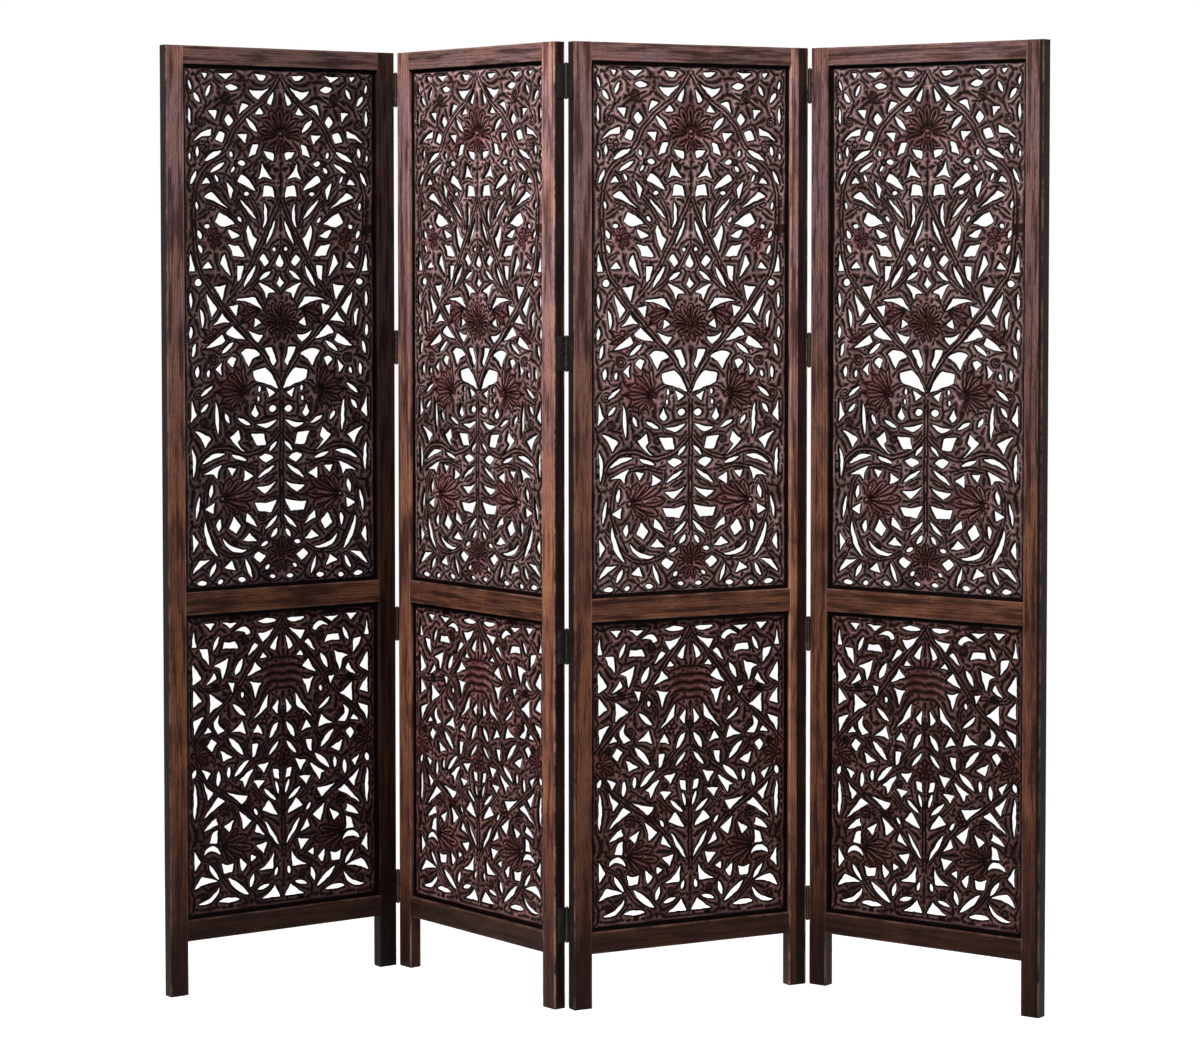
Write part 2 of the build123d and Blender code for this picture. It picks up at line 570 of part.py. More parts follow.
def panel_places():
    """Place of each panel, chained pin to pin, before the screen is centred."""
    places = [Rot(Z=PANEL_HEADINGS[0])]
    for heading, pin_side in zip(PANEL_HEADINGS[1:], PIN_SIDES):
        pin = places[-1] * Pos(HALF_PITCH, pin_side * PIN_OFFSET)
        turn = Rot(Z=heading)
        back_to_middle = turn * Pos(HALF_PITCH, -pin_side * PIN_OFFSET)
        places.append(Pos(pin.position) * back_to_middle)
    return places


def centred(places, outline):
    """The same places, shifted so that the outline's box is centred on the origin."""
    box = Compound(children=[place * outline for place in places]).bounding_box()
    middle = Pos(-(box.min.X + box.max.X) / 2, -(box.min.Y + box.max.Y) / 2)
    return [middle * place for place in places]


def write(name, shape):
    """One STEP file for each sub-part, named after it."""
    shape.label = name
    export_step(shape, f"parts/{name}.step")


def write_panel(number, place, boards):
    """Every piece that rides on one panel."""
    pin_sides = (None, *PIN_SIDES, None)
    screws = []
    for end, word in ((LEFT, "left"), (RIGHT, "right")):
        pin_side = pin_sides[number - 1 if end == LEFT else number]
        write(f"panel_{number}_{word}_stile", place * stile(end, pin_side))
        if pin_side:
            screws += [place * spot * screw() for spot in at_leaf_screws(end, pin_side)]
            write_hinge_halves(number, place, end, pin_side)
    write(f"panel_{number}_hinge_screws", Compound(children=screws))
    for name, (lift, height) in RAILS.items():
        write(f"panel_{number}_{name}_rail", place * rail(lift, height))
    for name, (foot, _) in FIELDS.items():
        write(f"panel_{number}_{name}_jali", place * Pos(0, 0, foot) * boards[name])


def write_hinge_halves(number, place, end, pin_side):
    """The leaves at one end of a panel, and the pins where it is the panel on the pins' left."""
    line = f"hinge_{number}{number + 1}" if end == RIGHT else f"hinge_{number - 1}{number}"
    half = "left" if end == RIGHT else "right"
    for name, lift in zip(HINGE_NAMES, HINGE_LIFTS):
        write(f"{line}_{name}_{half}_leaf", place * hinge_leaf(end, pin_side, lift))
    if end == RIGHT:
        pins = [place * hinge_pin(end, pin_side, lift) for lift in HINGE_LIFTS]
        write(f"{line}_pins", Compound(children=pins))


def main():
    os.makedirs("parts", exist_ok=True)
    boards = {
        "tall": fretwork_board(TALL_OPENINGS, TALL_CENTRE, TALL_SHEET_HEIGHT, TALL_FIELD_HEIGHT),
        "short": fretwork_board(SHORT_OPENINGS, (), SHORT_SHEET_HEIGHT, SHORT_FIELD_HEIGHT),
    }
    outline = bar(PANEL_WIDTH, PANEL_HEIGHT, -PANEL_WIDTH / 2, 0)
    for number, place in enumerate(centred(panel_places(), outline), start=1):
        write_panel(number, place, boards)


main()
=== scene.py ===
"""Dresses the folding jali screen: carved boards, stained frames, iron hinges, studio and camera."""

from __future__ import annotations

import logging
import math
from dataclasses import dataclass, replace
from enum import Enum

import bmesh
import bpy
import numpy as np
from mathutils import Euler, Matrix, Vector, noise
from mathutils.geometry import delaunay_2d_cdt
from mathutils.kdtree import KDTree

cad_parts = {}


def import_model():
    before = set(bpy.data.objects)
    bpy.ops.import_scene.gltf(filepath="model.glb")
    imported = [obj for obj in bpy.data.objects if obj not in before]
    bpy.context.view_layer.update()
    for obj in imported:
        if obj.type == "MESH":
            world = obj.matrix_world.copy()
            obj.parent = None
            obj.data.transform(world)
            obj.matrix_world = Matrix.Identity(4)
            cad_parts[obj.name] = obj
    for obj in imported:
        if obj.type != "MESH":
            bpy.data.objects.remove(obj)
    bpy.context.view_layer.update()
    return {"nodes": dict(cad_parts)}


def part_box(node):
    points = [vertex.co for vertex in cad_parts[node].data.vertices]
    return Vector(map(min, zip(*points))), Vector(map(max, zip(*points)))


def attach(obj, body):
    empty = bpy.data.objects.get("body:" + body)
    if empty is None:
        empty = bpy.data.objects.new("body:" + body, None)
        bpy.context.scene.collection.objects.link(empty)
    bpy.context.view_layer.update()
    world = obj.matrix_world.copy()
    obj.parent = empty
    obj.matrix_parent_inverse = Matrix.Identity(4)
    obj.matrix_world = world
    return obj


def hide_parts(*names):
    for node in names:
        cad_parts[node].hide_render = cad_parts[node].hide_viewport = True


LOG = logging.getLogger("screen")
MM = 0.001
Point = tuple[float, float]
Colour = tuple[float, float, float]

PANELS = (1, 2, 3, 4)
STRAY_SEED = 7  # fixes the noise behind the carver's strays, which otherwise starts from the clock

STILE_MIDDLE = 0.235  # metres from the panel's middle to a stile's
STILE_HALF_WIDTH = 0.019
STILE_SHADE_FROM = 0.2532  # where the painted shade on a stile's outer edge starts
HALF_THICKNESS = 0.0125  # of the frame


# ---- Where the panels stand ------------------------------------------------------------


@dataclass(frozen=True)
class PanelPlace:
    """Where one panel stands: its middle in plan, and its heading about the vertical.

    Panel axes are x along the panel to its right, y to its back and z up.
    """

    number: int
    middle: Vector
    heading: float

    @property
    def body(self) -> str:
        """Name of the body that the panel's pieces ride on."""
        return f"panel_{self.number}"

    @property
    def matrix(self) -> Matrix:
        """Matrix from panel axes to the row's frame."""
        return Matrix.Translation(self.middle) @ Matrix.Rotation(self.heading, 4, "Z")

    def node(self, name: str) -> str:
        """Name of one of this panel's nodes."""
        return f"{self.body}_{name}"


def mesh_points(mesh: bpy.types.Mesh) -> np.ndarray:
    """Reads the positions of a mesh's vertices.

    Args:
        mesh: The mesh.

    Returns:
        The positions, as rows.
    """
    flat = np.empty(len(mesh.vertices) * 3)
    mesh.vertices.foreach_get("co", flat)
    return flat.reshape(-1, 3)


def find_place(number: int, rail: bpy.types.Object) -> PanelPlace:
    """Works out where a panel stands from its top rail, which is its longest level timber.

    Args:
        number: The panel's number, from the left.
        rail: The panel's top rail.

    Returns:
        The panel's place.
    """
    plan = mesh_points(rail.data)[:, :2]
    centre = plan.mean(axis=0)
    along = np.linalg.svd(plan - centre, full_matrices=False)[2][0]
    along = along * math.copysign(1.0, along[0])
    across = np.array([-along[1], along[0]])
    spans = [(plan @ axis) for axis in (along, across)]
    middle = sum(axis * (s.min() + s.max()) / 2 for axis, s in zip((along, across), spans))
    return PanelPlace(number, Vector((*middle, 0.0)), math.atan2(along[1], along[0]))


# ---- The carver's cuts -----------------------------------------------------------------


@dataclass(frozen=True)
class Cut:
    """One V cut: the points that its floor follows on the board, in millimetres, and its depth."""

    line: np.ndarray
    depth: float


def spaced(line: np.ndarray, gap: float, closed: bool = False) -> np.ndarray:
    """Points at an even gap along a line.

    Args:
        line: The line's corners, as rows.
        gap: The distance wanted between points.
        closed: Whether the line returns to its start.

    Returns:
        The new points, without a repeat of the start if the line is closed.
    """
    if closed:
        line = np.vstack([line, line[:1]])
    reach = np.concatenate([[0.0], np.cumsum(np.linalg.norm(np.diff(line, axis=0), axis=1))])
    count = max(2, round(reach[-1] / gap) + 1)
    at = np.linspace(0.0, reach[-1], count)
    made = np.column_stack([np.interp(at, reach, line[:, k]) for k in (0, 1)])
    return made[:-1] if closed else made


def smooth_line(corners: tuple[Point, ...], steps: int = 8) -> np.ndarray:
    """Catmull-Rom curve through the corners.

    Args:
        corners: The points that the curve passes through.
        steps: Points made for each span.

    Returns:
        The curve's points.
    """
    p = np.array([corners[0], *corners, corners[-1]], float)
    t = np.linspace(0.0, 1.0, steps, endpoint=False)[:, None]
    spans = []
    for a, b, c, d in zip(p, p[1:], p[2:], p[3:]):
        bend = 2 * b + (c - a) * t + (2 * a - 5 * b + 4 * c - d) * t**2
        spans.append((bend + (3 * b - a - 3 * c + d) * t**3) / 2)
    return np.vstack([*spans, p[-1:]])


def bowed(start: Point, end: Point, swell: float) -> np.ndarray:
    """Points of a shallow arc.

    Args:
        start: One end.
        end: The other end.
        swell: How far its middle stands off its chord, positive to the left.

    Returns:
        Nine points, as rows.
    """
    a, b = np.array(start, float), np.array(end, float)
    left = np.array([a[1] - b[1], b[0] - a[0]]) / max(np.linalg.norm(b - a), 1e-9)
    t = np.linspace(0.0, 1.0, 9)[:, None]
    return a + (b - a) * t + left * swell * 4 * t * (1 - t)


def ring(centre: Point, radius: float) -> np.ndarray:
    """Points of a whole circle, with its start repeated at its end."""
    turn = np.linspace(0.0, 2 * math.pi, 25)
    return np.array(centre) + radius * np.column_stack([np.cos(turn), np.sin(turn)])


@dataclass(frozen=True)
class Vine:
    """A stem left standing between two cuts."""

    route: tuple[Point, ...]
    half_width: float = 3.6
    depth: float = 1.5

    def cuts(self) -> list[Cut]:
        """Cuts that leave the stem standing.

        Returns:
            The cut on each side of it.
        """
        line = smooth_line(self.route)
        way = np.gradient(line, axis=0)
        left = np.column_stack([-way[:, 1], way[:, 0]]) / np.linalg.norm(way, axis=1)[:, None]
        return [Cut(line + side * self.half_width * left, self.depth) for side in (-1, 1)]

    def back_lines(self) -> list[np.ndarray]:
        """The stem as one line on the plainer back."""
        return [smooth_line(self.route)]


@dataclass(frozen=True)
class Vein:
    """A single bowed cut, as along a leaf."""

    start: Point
    end: Point
    swell: float = 0.0
    depth: float = 1.2

    def cuts(self) -> list[Cut]:
        """The one cut."""
        return [Cut(bowed(self.start, self.end, self.swell), self.depth)]

    def back_lines(self) -> list[np.ndarray]:
        """Nothing: the back has no veins."""
        return []


@dataclass(frozen=True)
class Bud:
    """A round bud: a ring with a smaller ring inside."""

    centre: Point
    radius: float
    depth: float = 1.3

    def cuts(self) -> list[Cut]:
        """The two rings."""
        return [Cut(ring(self.centre, self.radius * share), self.depth) for share in (1.0, 0.5)]

    def back_lines(self) -> list[np.ndarray]:
        """One ring, on the larger buds."""
        return [ring(self.centre, self.radius - 2.0)] if self.radius > 8 else []


@dataclass(frozen=True)
class Fan:
    """Petals that open from a heart, each with its own tip, as on a flower or a broad leaf."""

    heart: Point
    tips: tuple[Point, ...]
    closed: bool = False
    core: float = 5.5
    notch: float = 0.74
    depth: float = 1.6
    midrib: float = 0.84
    long_petal: float = 22.0

    @classmethod
    def even(
        cls, heart: Point, radius: float, petals: int, facing: float = 90.0, spread: float = 360.0
    ) -> Fan:
        """A fan whose tips lie at even angles on a circle.

        Args:
            heart: Middle of the circle.
            radius: Its radius.
            petals: How many petals there are.
            facing: Direction of the middle petal, in degrees.
            spread: Angle over which the petals open.

        Returns:
            The fan, which closes on itself if the spread is a full turn.
        """
        whole = spread >= 360
        step = spread / (petals if whole else petals - 1)
        start = 0.5 if whole else 0.0
        turns = [math.radians(facing - spread / 2 + step * (i + start)) for i in range(petals)]
        tips = tuple((heart[0] + radius * math.cos(t), heart[1] + radius * math.sin(t)) for t in turns)
        return cls(heart, tips, closed=whole)

    def cuts(self) -> list[Cut]:
        """Cuts of the whole fan.

        Returns:
            The heart's ring, the midribs of long petals, and the valleys between petals with their edges.
        """
        heart, tips = np.array(self.heart, float), [np.array(tip, float) for tip in self.tips]
        made = [Cut(ring(self.heart, self.core), self.depth)]
        for tip in tips:
            reach = np.linalg.norm(tip - heart)
            if reach > self.long_petal:
                shares = (2.0 * self.core / reach, self.midrib)
                start, end = (heart + (tip - heart) * share for share in shares)
                made.append(Cut(bowed(tuple(start), tuple(end), 0.03 * reach), 0.6 * self.depth))
        pairs = list(zip(tips, tips[1:])) + ([(tips[-1], tips[0])] if self.closed else [])
        for a, b in pairs:
            valley = heart + ((a + b) / 2 - heart) * self.notch
            near = heart + (valley - heart) * self.core / max(np.linalg.norm(valley - heart), 1.0)
            made.append(Cut(bowed(tuple(near), tuple(valley), 0.0), self.depth))
            for tip in (a, b):
                swell = 0.10 * np.linalg.norm(tip - valley) * (1 if tip is b else -1)
                made.append(Cut(bowed(tuple(valley), tuple(tip), -swell), self.depth))
        return made

    def back_lines(self) -> list[np.ndarray]:
        """Lines of the fan on the plainer back.

        Returns:
            The outer half of each valley between petals.
        """
        heart, tips = np.array(self.heart, float), np.array(self.tips, float)
        turned = np.roll(tips, -1, axis=0) if self.closed else tips[1:]
        valleys = (tips[: len(turned)] + turned) / 2 - heart
        return [bowed(tuple(heart + 0.42 * v), tuple(heart + 0.9 * v), 0.0) for v in valleys]


Motif = Vine | Vein | Bud | Fan


def veins(*rows: tuple[float, ...]) -> tuple[Vein, ...]:
    """Veins from rows of both ends and a swell, and a depth where it is not the usual one."""
    return tuple(Vein(row[:2], row[2:4], *row[4:]) for row in rows)


def buds(*rows: tuple[float, float, float]) -> tuple[Bud, ...]:
    """Buds from rows of a centre and a radius."""
    return tuple(Bud((u, v), radius) for u, v, radius in rows)


@dataclass(frozen=True)
class Bloom:
    """A round patch where the stain is redder, over a flower or a broad leaf."""

    centre: Point
    radius: float


def blooms(*rows: tuple[float, float, float]) -> tuple[Bloom, ...]:
    """Blooms from rows of a centre and a radius."""
    return tuple(Bloom((u, v), radius) for u, v, radius in rows)


@dataclass(frozen=True)
class Carving:
    """What is carved on one board, drawn for its right half on a sheet that starts at its foot."""

    motifs: tuple[Motif, ...]
    blooms: tuple[Bloom, ...]
    seeds: tuple[tuple[float, float, float], ...]
    sheet_height: float


TALL_CARVING = Carving(
    sheet_height=1014.0,
    motifs=(
        Vine(
            (
                (1, 996), (20, 966), (38, 945), (62, 929), (85, 909), (105, 885), (118, 858),
                (143, 838), (170, 814), (184, 790), (190, 755), (191, 720), (189, 685), (185, 645),
                (176, 614), (160, 591), (142, 565), (122, 542), (98, 515), (70, 484), (44, 460),
                (25, 436), (9, 408), (1, 392),
            )
        ),
        Vine(((1, 760), (13, 733), (26, 706), (42, 672), (58, 645), (72, 620), (88, 596), (108, 572))),
        Vine(((3, 668), (13, 648), (24, 624), (42, 610), (62, 591), (84, 577)), half_width=2.8),
        Vine(((44, 700), (50, 730), (66, 760), (92, 788), (108, 812)), half_width=2.8),
        Vine(((66, 712), (84, 738), (106, 762), (128, 788)), half_width=2.6),
        Vine(((84, 700), (106, 722), (134, 742), (164, 752)), half_width=2.6),
        Vine(((0, 374), (0, 330), (0, 250), (0, 170), (0, 112)), half_width=3.4),
        Vine(
            (
                (4, 304), (22, 283), (46, 268), (76, 260), (104, 269), (126, 276), (156, 270),
                (180, 250), (190, 216),
            )
        ),
        Vine(
            ((62, 236), (98, 244), (134, 238), (160, 214), (168, 182), (168, 150), (156, 120)),
            half_width=3.0,
        ),
        Vine(((52, 78), (84, 66), (118, 66), (146, 84), (168, 112), (184, 128)), half_width=3.0),
        Vine(((2, 384), (22, 397), (44, 402), (64, 398), (84, 384)), half_width=3.0),
        Fan.even((0, 884), 50, 9, facing=90, spread=216),
        Fan.even((0, 876), 34, 4, facing=270, spread=110),
        Fan.even((0, 518), 40, 9, facing=90, spread=240),
        Fan.even((0, 514), 30, 4, facing=270, spread=100),
        Fan.even((0, 64), 34, 7, facing=90, spread=220),
        Fan.even((0, 58), 30, 4, facing=270, spread=110),
        Fan.even((154, 680), 24, 6, facing=140, spread=230),
        Fan(
            (80, 383),
            ((84, 440), (104, 436), (124, 424), (142, 404), (149, 382), (138, 358), (112, 345), (90, 350)),
        ),
        Fan(
            (132, 176),
            ((140, 208), (115, 216), (88, 214), (62, 212), (54, 180), (70, 152), (95, 146), (122, 142)),
        ),
        Fan((40, 548), ((58, 572), (78, 560), (96, 534), (100, 508), (70, 508))),
        Fan((146, 500), ((176, 506), (172, 480), (150, 468), (128, 476))),
        Fan((160, 861), ((182, 872), (184, 848), (164, 838), (146, 846))),
        *buds(
            (176, 905, 9), (120, 952, 9), (66, 856, 7), (30, 816, 8), (96, 826, 6), (52, 452, 5),
            (150, 446, 9), (182, 380, 9), (116, 300, 7), (170, 326, 8), (72, 296, 7), (60, 338, 6),
            (30, 232, 6), (44, 140, 9), (168, 92, 9), (104, 90, 6), (60, 96, 5),
        ),
        *veins(
            (96, 958, 146, 930, 4), (100, 940, 132, 944, -3), (72, 985, 98, 984, 2),
            (132, 968, 150, 985, 2), (176, 930, 186, 900, 3), (150, 946, 176, 912, 3),
            (86, 872, 104, 858, 2), (16, 824, 34, 796, 4), (22, 832, 40, 806, 4), (54, 812, 76, 790, -3),
            (60, 826, 84, 812, -2), (140, 786, 170, 772, 3), (150, 742, 178, 726, 2), (30, 792, 58, 778, 3),
            (14, 748, 30, 756, 2), (60, 606, 66, 634, -3), (136, 610, 146, 596, 2), (152, 652, 178, 640, 3),
            (18, 566, 34, 552, 3), (100, 572, 118, 556, 2), (170, 572, 186, 540, 3),
            (172, 520, 160, 490, 3), (136, 500, 168, 486, -3), (134, 456, 176, 466, 4),
            (112, 456, 136, 470, 2), (14, 480, 26, 500, 2), (170, 402, 192, 424, 2),
            (166, 392, 150, 408, 2), (104, 346, 134, 352, 3), (128, 330, 156, 318, 3),
            (148, 310, 178, 318, 2), (24, 296, 10, 312, 2), (56, 246, 74, 238, 2), (12, 222, 44, 206, 3),
            (14, 186, 50, 178, -3), (14, 178, 40, 170, 2), (20, 136, 48, 124, -3), (18, 124, 40, 102, 3),
            (88, 136, 72, 120, 2), (118, 140, 130, 120, 2), (186, 60, 168, 84, 3), (164, 36, 188, 46, 2),
            (70, 64, 90, 38, 3), (112, 28, 128, 56, 3), (20, 30, 44, 30, 3),
        ),
    ),
    blooms=blooms(
        (0, 893, 56), (0, 520, 50), (0, 56, 46), (112, 390, 54), (98, 180, 54), (154, 680, 36),
        (72, 538, 34), (152, 486, 30), (70, 858, 26),
    ),
    seeds=((0, 884, 3.2), (0, 518, 3.4), (0, 64, 2.6), (154, 680, 2.4), (80, 383, 2.4), (132, 176, 2.4)),
)
SHORT_CARVING = Carving(
    sheet_height=591.0,
    motifs=(
        Vine(
            (
                (1, 575), (14, 553), (32, 530), (46, 513), (60, 494), (76, 476), (95, 450), (117, 426),
                (142, 403), (164, 382), (186, 359), (204, 336),
            )
        ),
        Vine(
            (
                (206, 300), (191, 283), (160, 257), (128, 233), (100, 214), (78, 200), (58, 178),
                (34, 150), (8, 118),
            )
        ),
        Vine(
            ((200, 470), (178, 444), (156, 442), (126, 446), (98, 440), (78, 418), (74, 398)),
            half_width=2.8,
        ),
        Vine(((74, 344), (84, 322), (74, 300), (52, 312), (40, 328), (20, 346)), half_width=2.6),
        Vine(((0, 238), (0, 180), (0, 100)), half_width=3.2),
        Vine(((6, 190), (24, 206), (46, 222), (70, 246)), half_width=2.6),
        Vine(((204, 132), (182, 116), (158, 104), (138, 74), (120, 52), (98, 34)), half_width=2.8),
        *veins(
            (0, 494, 46, 482, 5, 1.8), (0, 478, 50, 468, 6, 1.8), (0, 462, 50, 452, 7, 1.8),
            (0, 446, 42, 438, 6, 1.8), (0, 432, 28, 428, 4, 1.6), (0, 496, 0, 512, 0), (9, 496, 14, 510, 1),
            (20, 494, 30, 504, 1),
        ),
        Fan(
            (140, 140),
            ((150, 170), (128, 172), (104, 166), (80, 150), (68, 126), (84, 104), (110, 98), (134, 106)),
        ),
        Fan((196, 316), ((196, 350), (176, 342), (160, 322), (166, 298), (186, 286))),
        Fan.even((46, 381), 17, 6),
        Bud((0, 384), 7),
        Fan.even((0, 298), 19, 7),
        Bud((84, 533), 8),
        Fan.even((84, 212), 15, 6),
        *buds(
            (130, 372, 10), (28, 232, 6), (150, 446, 7), (176, 340, 7), (132, 204, 10), (106, 230, 7),
            (56, 266, 7), (30, 194, 7), (164, 196, 8), (176, 40, 7), (100, 52, 7), (42, 62, 7),
        ),
        *veins(
            (60, 560, 92, 540, 3), (112, 546, 132, 540, 3), (170, 548, 186, 536, 3), (30, 518, 22, 500, 3),
            (108, 512, 96, 494, 3), (184, 500, 166, 480, 3), (110, 478, 124, 462, 2),
            (140, 440, 172, 452, 3), (28, 430, 14, 418, 2), (106, 424, 90, 408, 2), (20, 372, 34, 348, 3),
            (182, 376, 168, 392, 2), (118, 330, 136, 350, 3), (150, 302, 172, 328, 3),
            (100, 330, 76, 338, 2), (30, 266, 48, 274, 2), (112, 250, 132, 262, 3), (150, 214, 186, 232, 3),
            (26, 228, 12, 206, 2), (110, 200, 140, 206, 3), (176, 150, 186, 182, 3),
            (168, 124, 184, 142, 3), (14, 96, 40, 120, 2), (34, 100, 48, 92, 2), (84, 66, 104, 76, 2),
            (164, 44, 188, 64, 3), (128, 44, 150, 38, 3), (24, 60, 40, 52, 2),
        ),
    ),
    blooms=blooms(
        (0, 462, 56), (108, 132, 52), (196, 318, 44), (0, 298, 26), (46, 381, 22), (84, 212, 22),
    ),
    seeds=((0, 298, 3.0), (46, 381, 2.6), (84, 212, 2.4), (140, 140, 2.4)),
)


# ---- Laying out a board's mesh ---------------------------------------------------------


CORNER_TURN = 0.55  # radians past which a loop's corner is kept sharp
FINE_GAP = 0.5  # spacing at which a loop is blended
STRAY_GAIN = 1.6
STRAY_LAYERS = ((0.05, 1.0, 3.7), (0.11, 0.6, 9.1))
"""Turns of noise for each millimetre, share of the stray, and height in the noise, slow strays first."""


def tree_of(points: np.ndarray) -> KDTree:
    """Builds a search tree over points of the sheet.

    Args:
        points: The points, as rows.

    Returns:
        The tree, whose indices are the points' rows.
    """
    tree = KDTree(len(points))
    for i, (u, v) in enumerate(points.tolist()):
        tree.insert((u, v, 0.0), i)
    tree.balance()
    return tree


def nearest(tree: KDTree, points: np.ndarray) -> tuple[np.ndarray, np.ndarray]:
    """Finds each point's nearest neighbour.

    Args:
        tree: The points searched.
        points: The points asked about, as rows.

    Returns:
        The neighbours' indices, and the distances to them.
    """
    found = [tree.find((u, v, 0.0)) for u, v in points.tolist()]
    return np.array([f[1] for f in found]), np.array([f[2] for f in found])


def thinned(groups: list[tuple[np.ndarray, float]]) -> np.ndarray:
    """Keeps points that stand far enough apart.

    Args:
        groups: Points and the least distance from each to any point kept before it.

    Returns:
        The points kept, with earlier groups first.
    """
    cell = max(gap for _, gap in groups)
    taken: dict[tuple[int, int], list[Point]] = {}
    kept = []
    for points, gap in groups:
        for u, v in points.tolist():
            i, j = int(u // cell), int(v // cell)
            if gap and any(
                (u - a) ** 2 + (v - b) ** 2 < gap * gap
                for di in (-1, 0, 1)
                for dj in (-1, 0, 1)
                for a, b in taken.get((i + di, j + dj), ())
            ):
                continue
            taken.setdefault((i, j), []).append((u, v))
            kept.append((u, v))
    return np.array(kept)


def run_of_corners(loop: np.ndarray, gap: float) -> np.ndarray:
    """Evenly spaced points along a closed loop, with its sharp corners kept.

    Args:
        loop: The loop's corners.
        gap: The distance wanted between points.

    Returns:
        The new loop.
    """
    way = np.roll(loop, -1, axis=0) - loop
    heading = np.arctan2(way[:, 1], way[:, 0])
    turn = np.abs((heading - np.roll(heading, 1) + math.pi) % (2 * math.pi) - math.pi)
    corners = np.flatnonzero(turn > CORNER_TURN)
    if len(corners) == 0:
        return spaced(loop, gap, closed=True)
    pieces = []
    for a, b in zip(corners, np.roll(corners, -1)):
        stop = b if b > a else b + len(loop)
        pieces.append(spaced(loop[np.arange(a, stop + 1) % len(loop)], gap)[:-1])
    return np.vstack(pieces)


def hand_cut(points: np.ndarray, stray: float) -> np.ndarray:
    """Moves points a little, as a hand-held tool strays from its line.

    Args:
        points: The points, as rows.
        stray: The size of the strays, in millimetres.

    Returns:
        The moved points.
    """
    moved = points.copy()
    for pitch, share, layer in STRAY_LAYERS:
        offs = [noise.noise_vector(Vector((u * pitch, v * pitch, layer))) for u, v in points.tolist()]
        moved += STRAY_GAIN * stray * share * np.array([(o.x, o.y) for o in offs])
    return moved


def softened(loop: np.ndarray, reach: float, gap: float) -> np.ndarray:
    """Rounds a closed loop's corners, as a file does.

    Args:
        loop: The loop's corners.
        reach: How far along the loop a corner is blended.
        gap: The distance wanted between points.

    Returns:
        The new loop.
    """
    fine = spaced(loop, FINE_GAP, closed=True)
    spans = max(1, min(round(reach / FINE_GAP), len(fine) // 6))
    shares = np.hanning(2 * spans + 3)[1:-1]
    made = sum(w * np.roll(fine, k - spans, axis=0) for k, w in enumerate(shares / shares.sum()))
    return spaced(made, gap, closed=True)


def inside(points: np.ndarray, loop: np.ndarray) -> np.ndarray:
    """Tells which points lie inside a closed loop.

    Args:
        points: The points, as rows.
        loop: The loop's corners.

    Returns:
        Whether each point is inside.
    """
    a, b = loop, np.roll(loop, -1, axis=0)
    x, y = points[:, :1], points[:, 1:]
    crosses = (a[:, 1] > y) != (b[:, 1] > y)
    rise = np.where(b[:, 1] == a[:, 1], 1e-12, b[:, 1] - a[:, 1])
    at = a[:, 0] + (y - a[:, 1]) / rise * (b[:, 0] - a[:, 0])
    return (crosses & (x < at)).sum(axis=1) % 2 == 1


@dataclass(frozen=True)
class Outline:
    """A board's outer edge and its openings, as loops on the sheet in millimetres."""

    loops: tuple[np.ndarray, ...]
    """The outer edge comes first."""
    front: float
    back: float

    @classmethod
    def read(cls, node: bpy.types.Object, place: PanelPlace, foot: float) -> Outline:
        """Reads the loops round the front face of a board in the CAD frame.

        Args:
            node: The board's CAD node.
            place: Where the board's panel stands.
            foot: Height of the sheet's foot, in millimetres.

        Returns:
            The outline.
        """
        to_panel = np.array(place.matrix.inverted())
        points = (mesh_points(node.data) @ to_panel[:3, :3].T + to_panel[:3, 3]) / MM
        corners = np.empty(len(node.data.loops), int)
        node.data.loops.foreach_get("vertex_index", corners)
        places, index = np.unique(np.round(points, 2), axis=0, return_inverse=True)
        triangles = index.reshape(-1)[corners].reshape(-1, 3)
        front, back = places[:, 1].min(), places[:, 1].max()
        triangles = triangles[(places[triangles][:, :, 1] < front + 0.01).all(axis=1)]
        edges = {tuple(e) for k in range(3) for e in triangles[:, [k, (k + 1) % 3]].tolist()}
        follow = {a: b for a, b in edges if (b, a) not in edges}
        loops = []
        while follow:
            at = start = min(follow)
            walk = []
            while at in follow:
                walk.append(at)
                at = follow.pop(at)
            if at != start:
                raise ValueError(f"{node.name}: a loop does not close")
            loops.append(places[walk][:, [0, 2]] - (0, foot))
        loops.sort(key=lambda loop: -np.ptp(loop[:, 0]) * np.ptp(loop[:, 1]))
        return cls(tuple(loops), front, back)


@dataclass(frozen=True)
class FaceMesh:
    """One face of a board: its points, its triangles, and the indices of each loop's points."""

    points: np.ndarray
    triangles: np.ndarray
    loops: tuple[np.ndarray, ...]


def fill_face(loops: list[np.ndarray], fill: np.ndarray) -> FaceMesh:
    """Triangulates the wood between the loops.

    Args:
        loops: The outer edge and the openings, evenly spaced.
        fill: Further points to use, all of them in the wood.

    Returns:
        The face.
    """
    starts = np.cumsum([0] + [len(loop) for loop in loops])
    rings = [np.arange(a, b) for a, b in zip(starts, starts[1:])]
    given = np.vstack([*loops, fill])
    edges = [pair for r in rings for pair in zip(r.tolist(), np.roll(r, -1).tolist())]
    made = delaunay_2d_cdt([Vector(p) for p in given.tolist()], edges, [], 0, 1e-5, True)
    points = np.array([tuple(p) for p in made[0]])
    whole = {old: new for new, olds in enumerate(made[3]) for old in olds}
    rings = [np.array([whole[i] for i in r.tolist()]) for r in rings]
    triangles = np.array(made[2])
    owner = np.full(len(points), -1)
    for k, r in enumerate(rings):
        owner[r] = k
    owners = owner[triangles]
    same = (owners[:, 0] == owners[:, 1]) & (owners[:, 1] == owners[:, 2]) & (owners[:, 0] > 0)
    keep = np.ones(len(triangles), bool)
    middles = points[triangles].mean(axis=1)
    for k in range(1, len(loops)):
        mine = np.flatnonzero(same & (owners[:, 0] == k))
        keep[mine[inside(middles[mine], loops[k])]] = False
    return FaceMesh(points, triangles[keep], tuple(rings))


# ---- Materials -------------------------------------------------------------------------


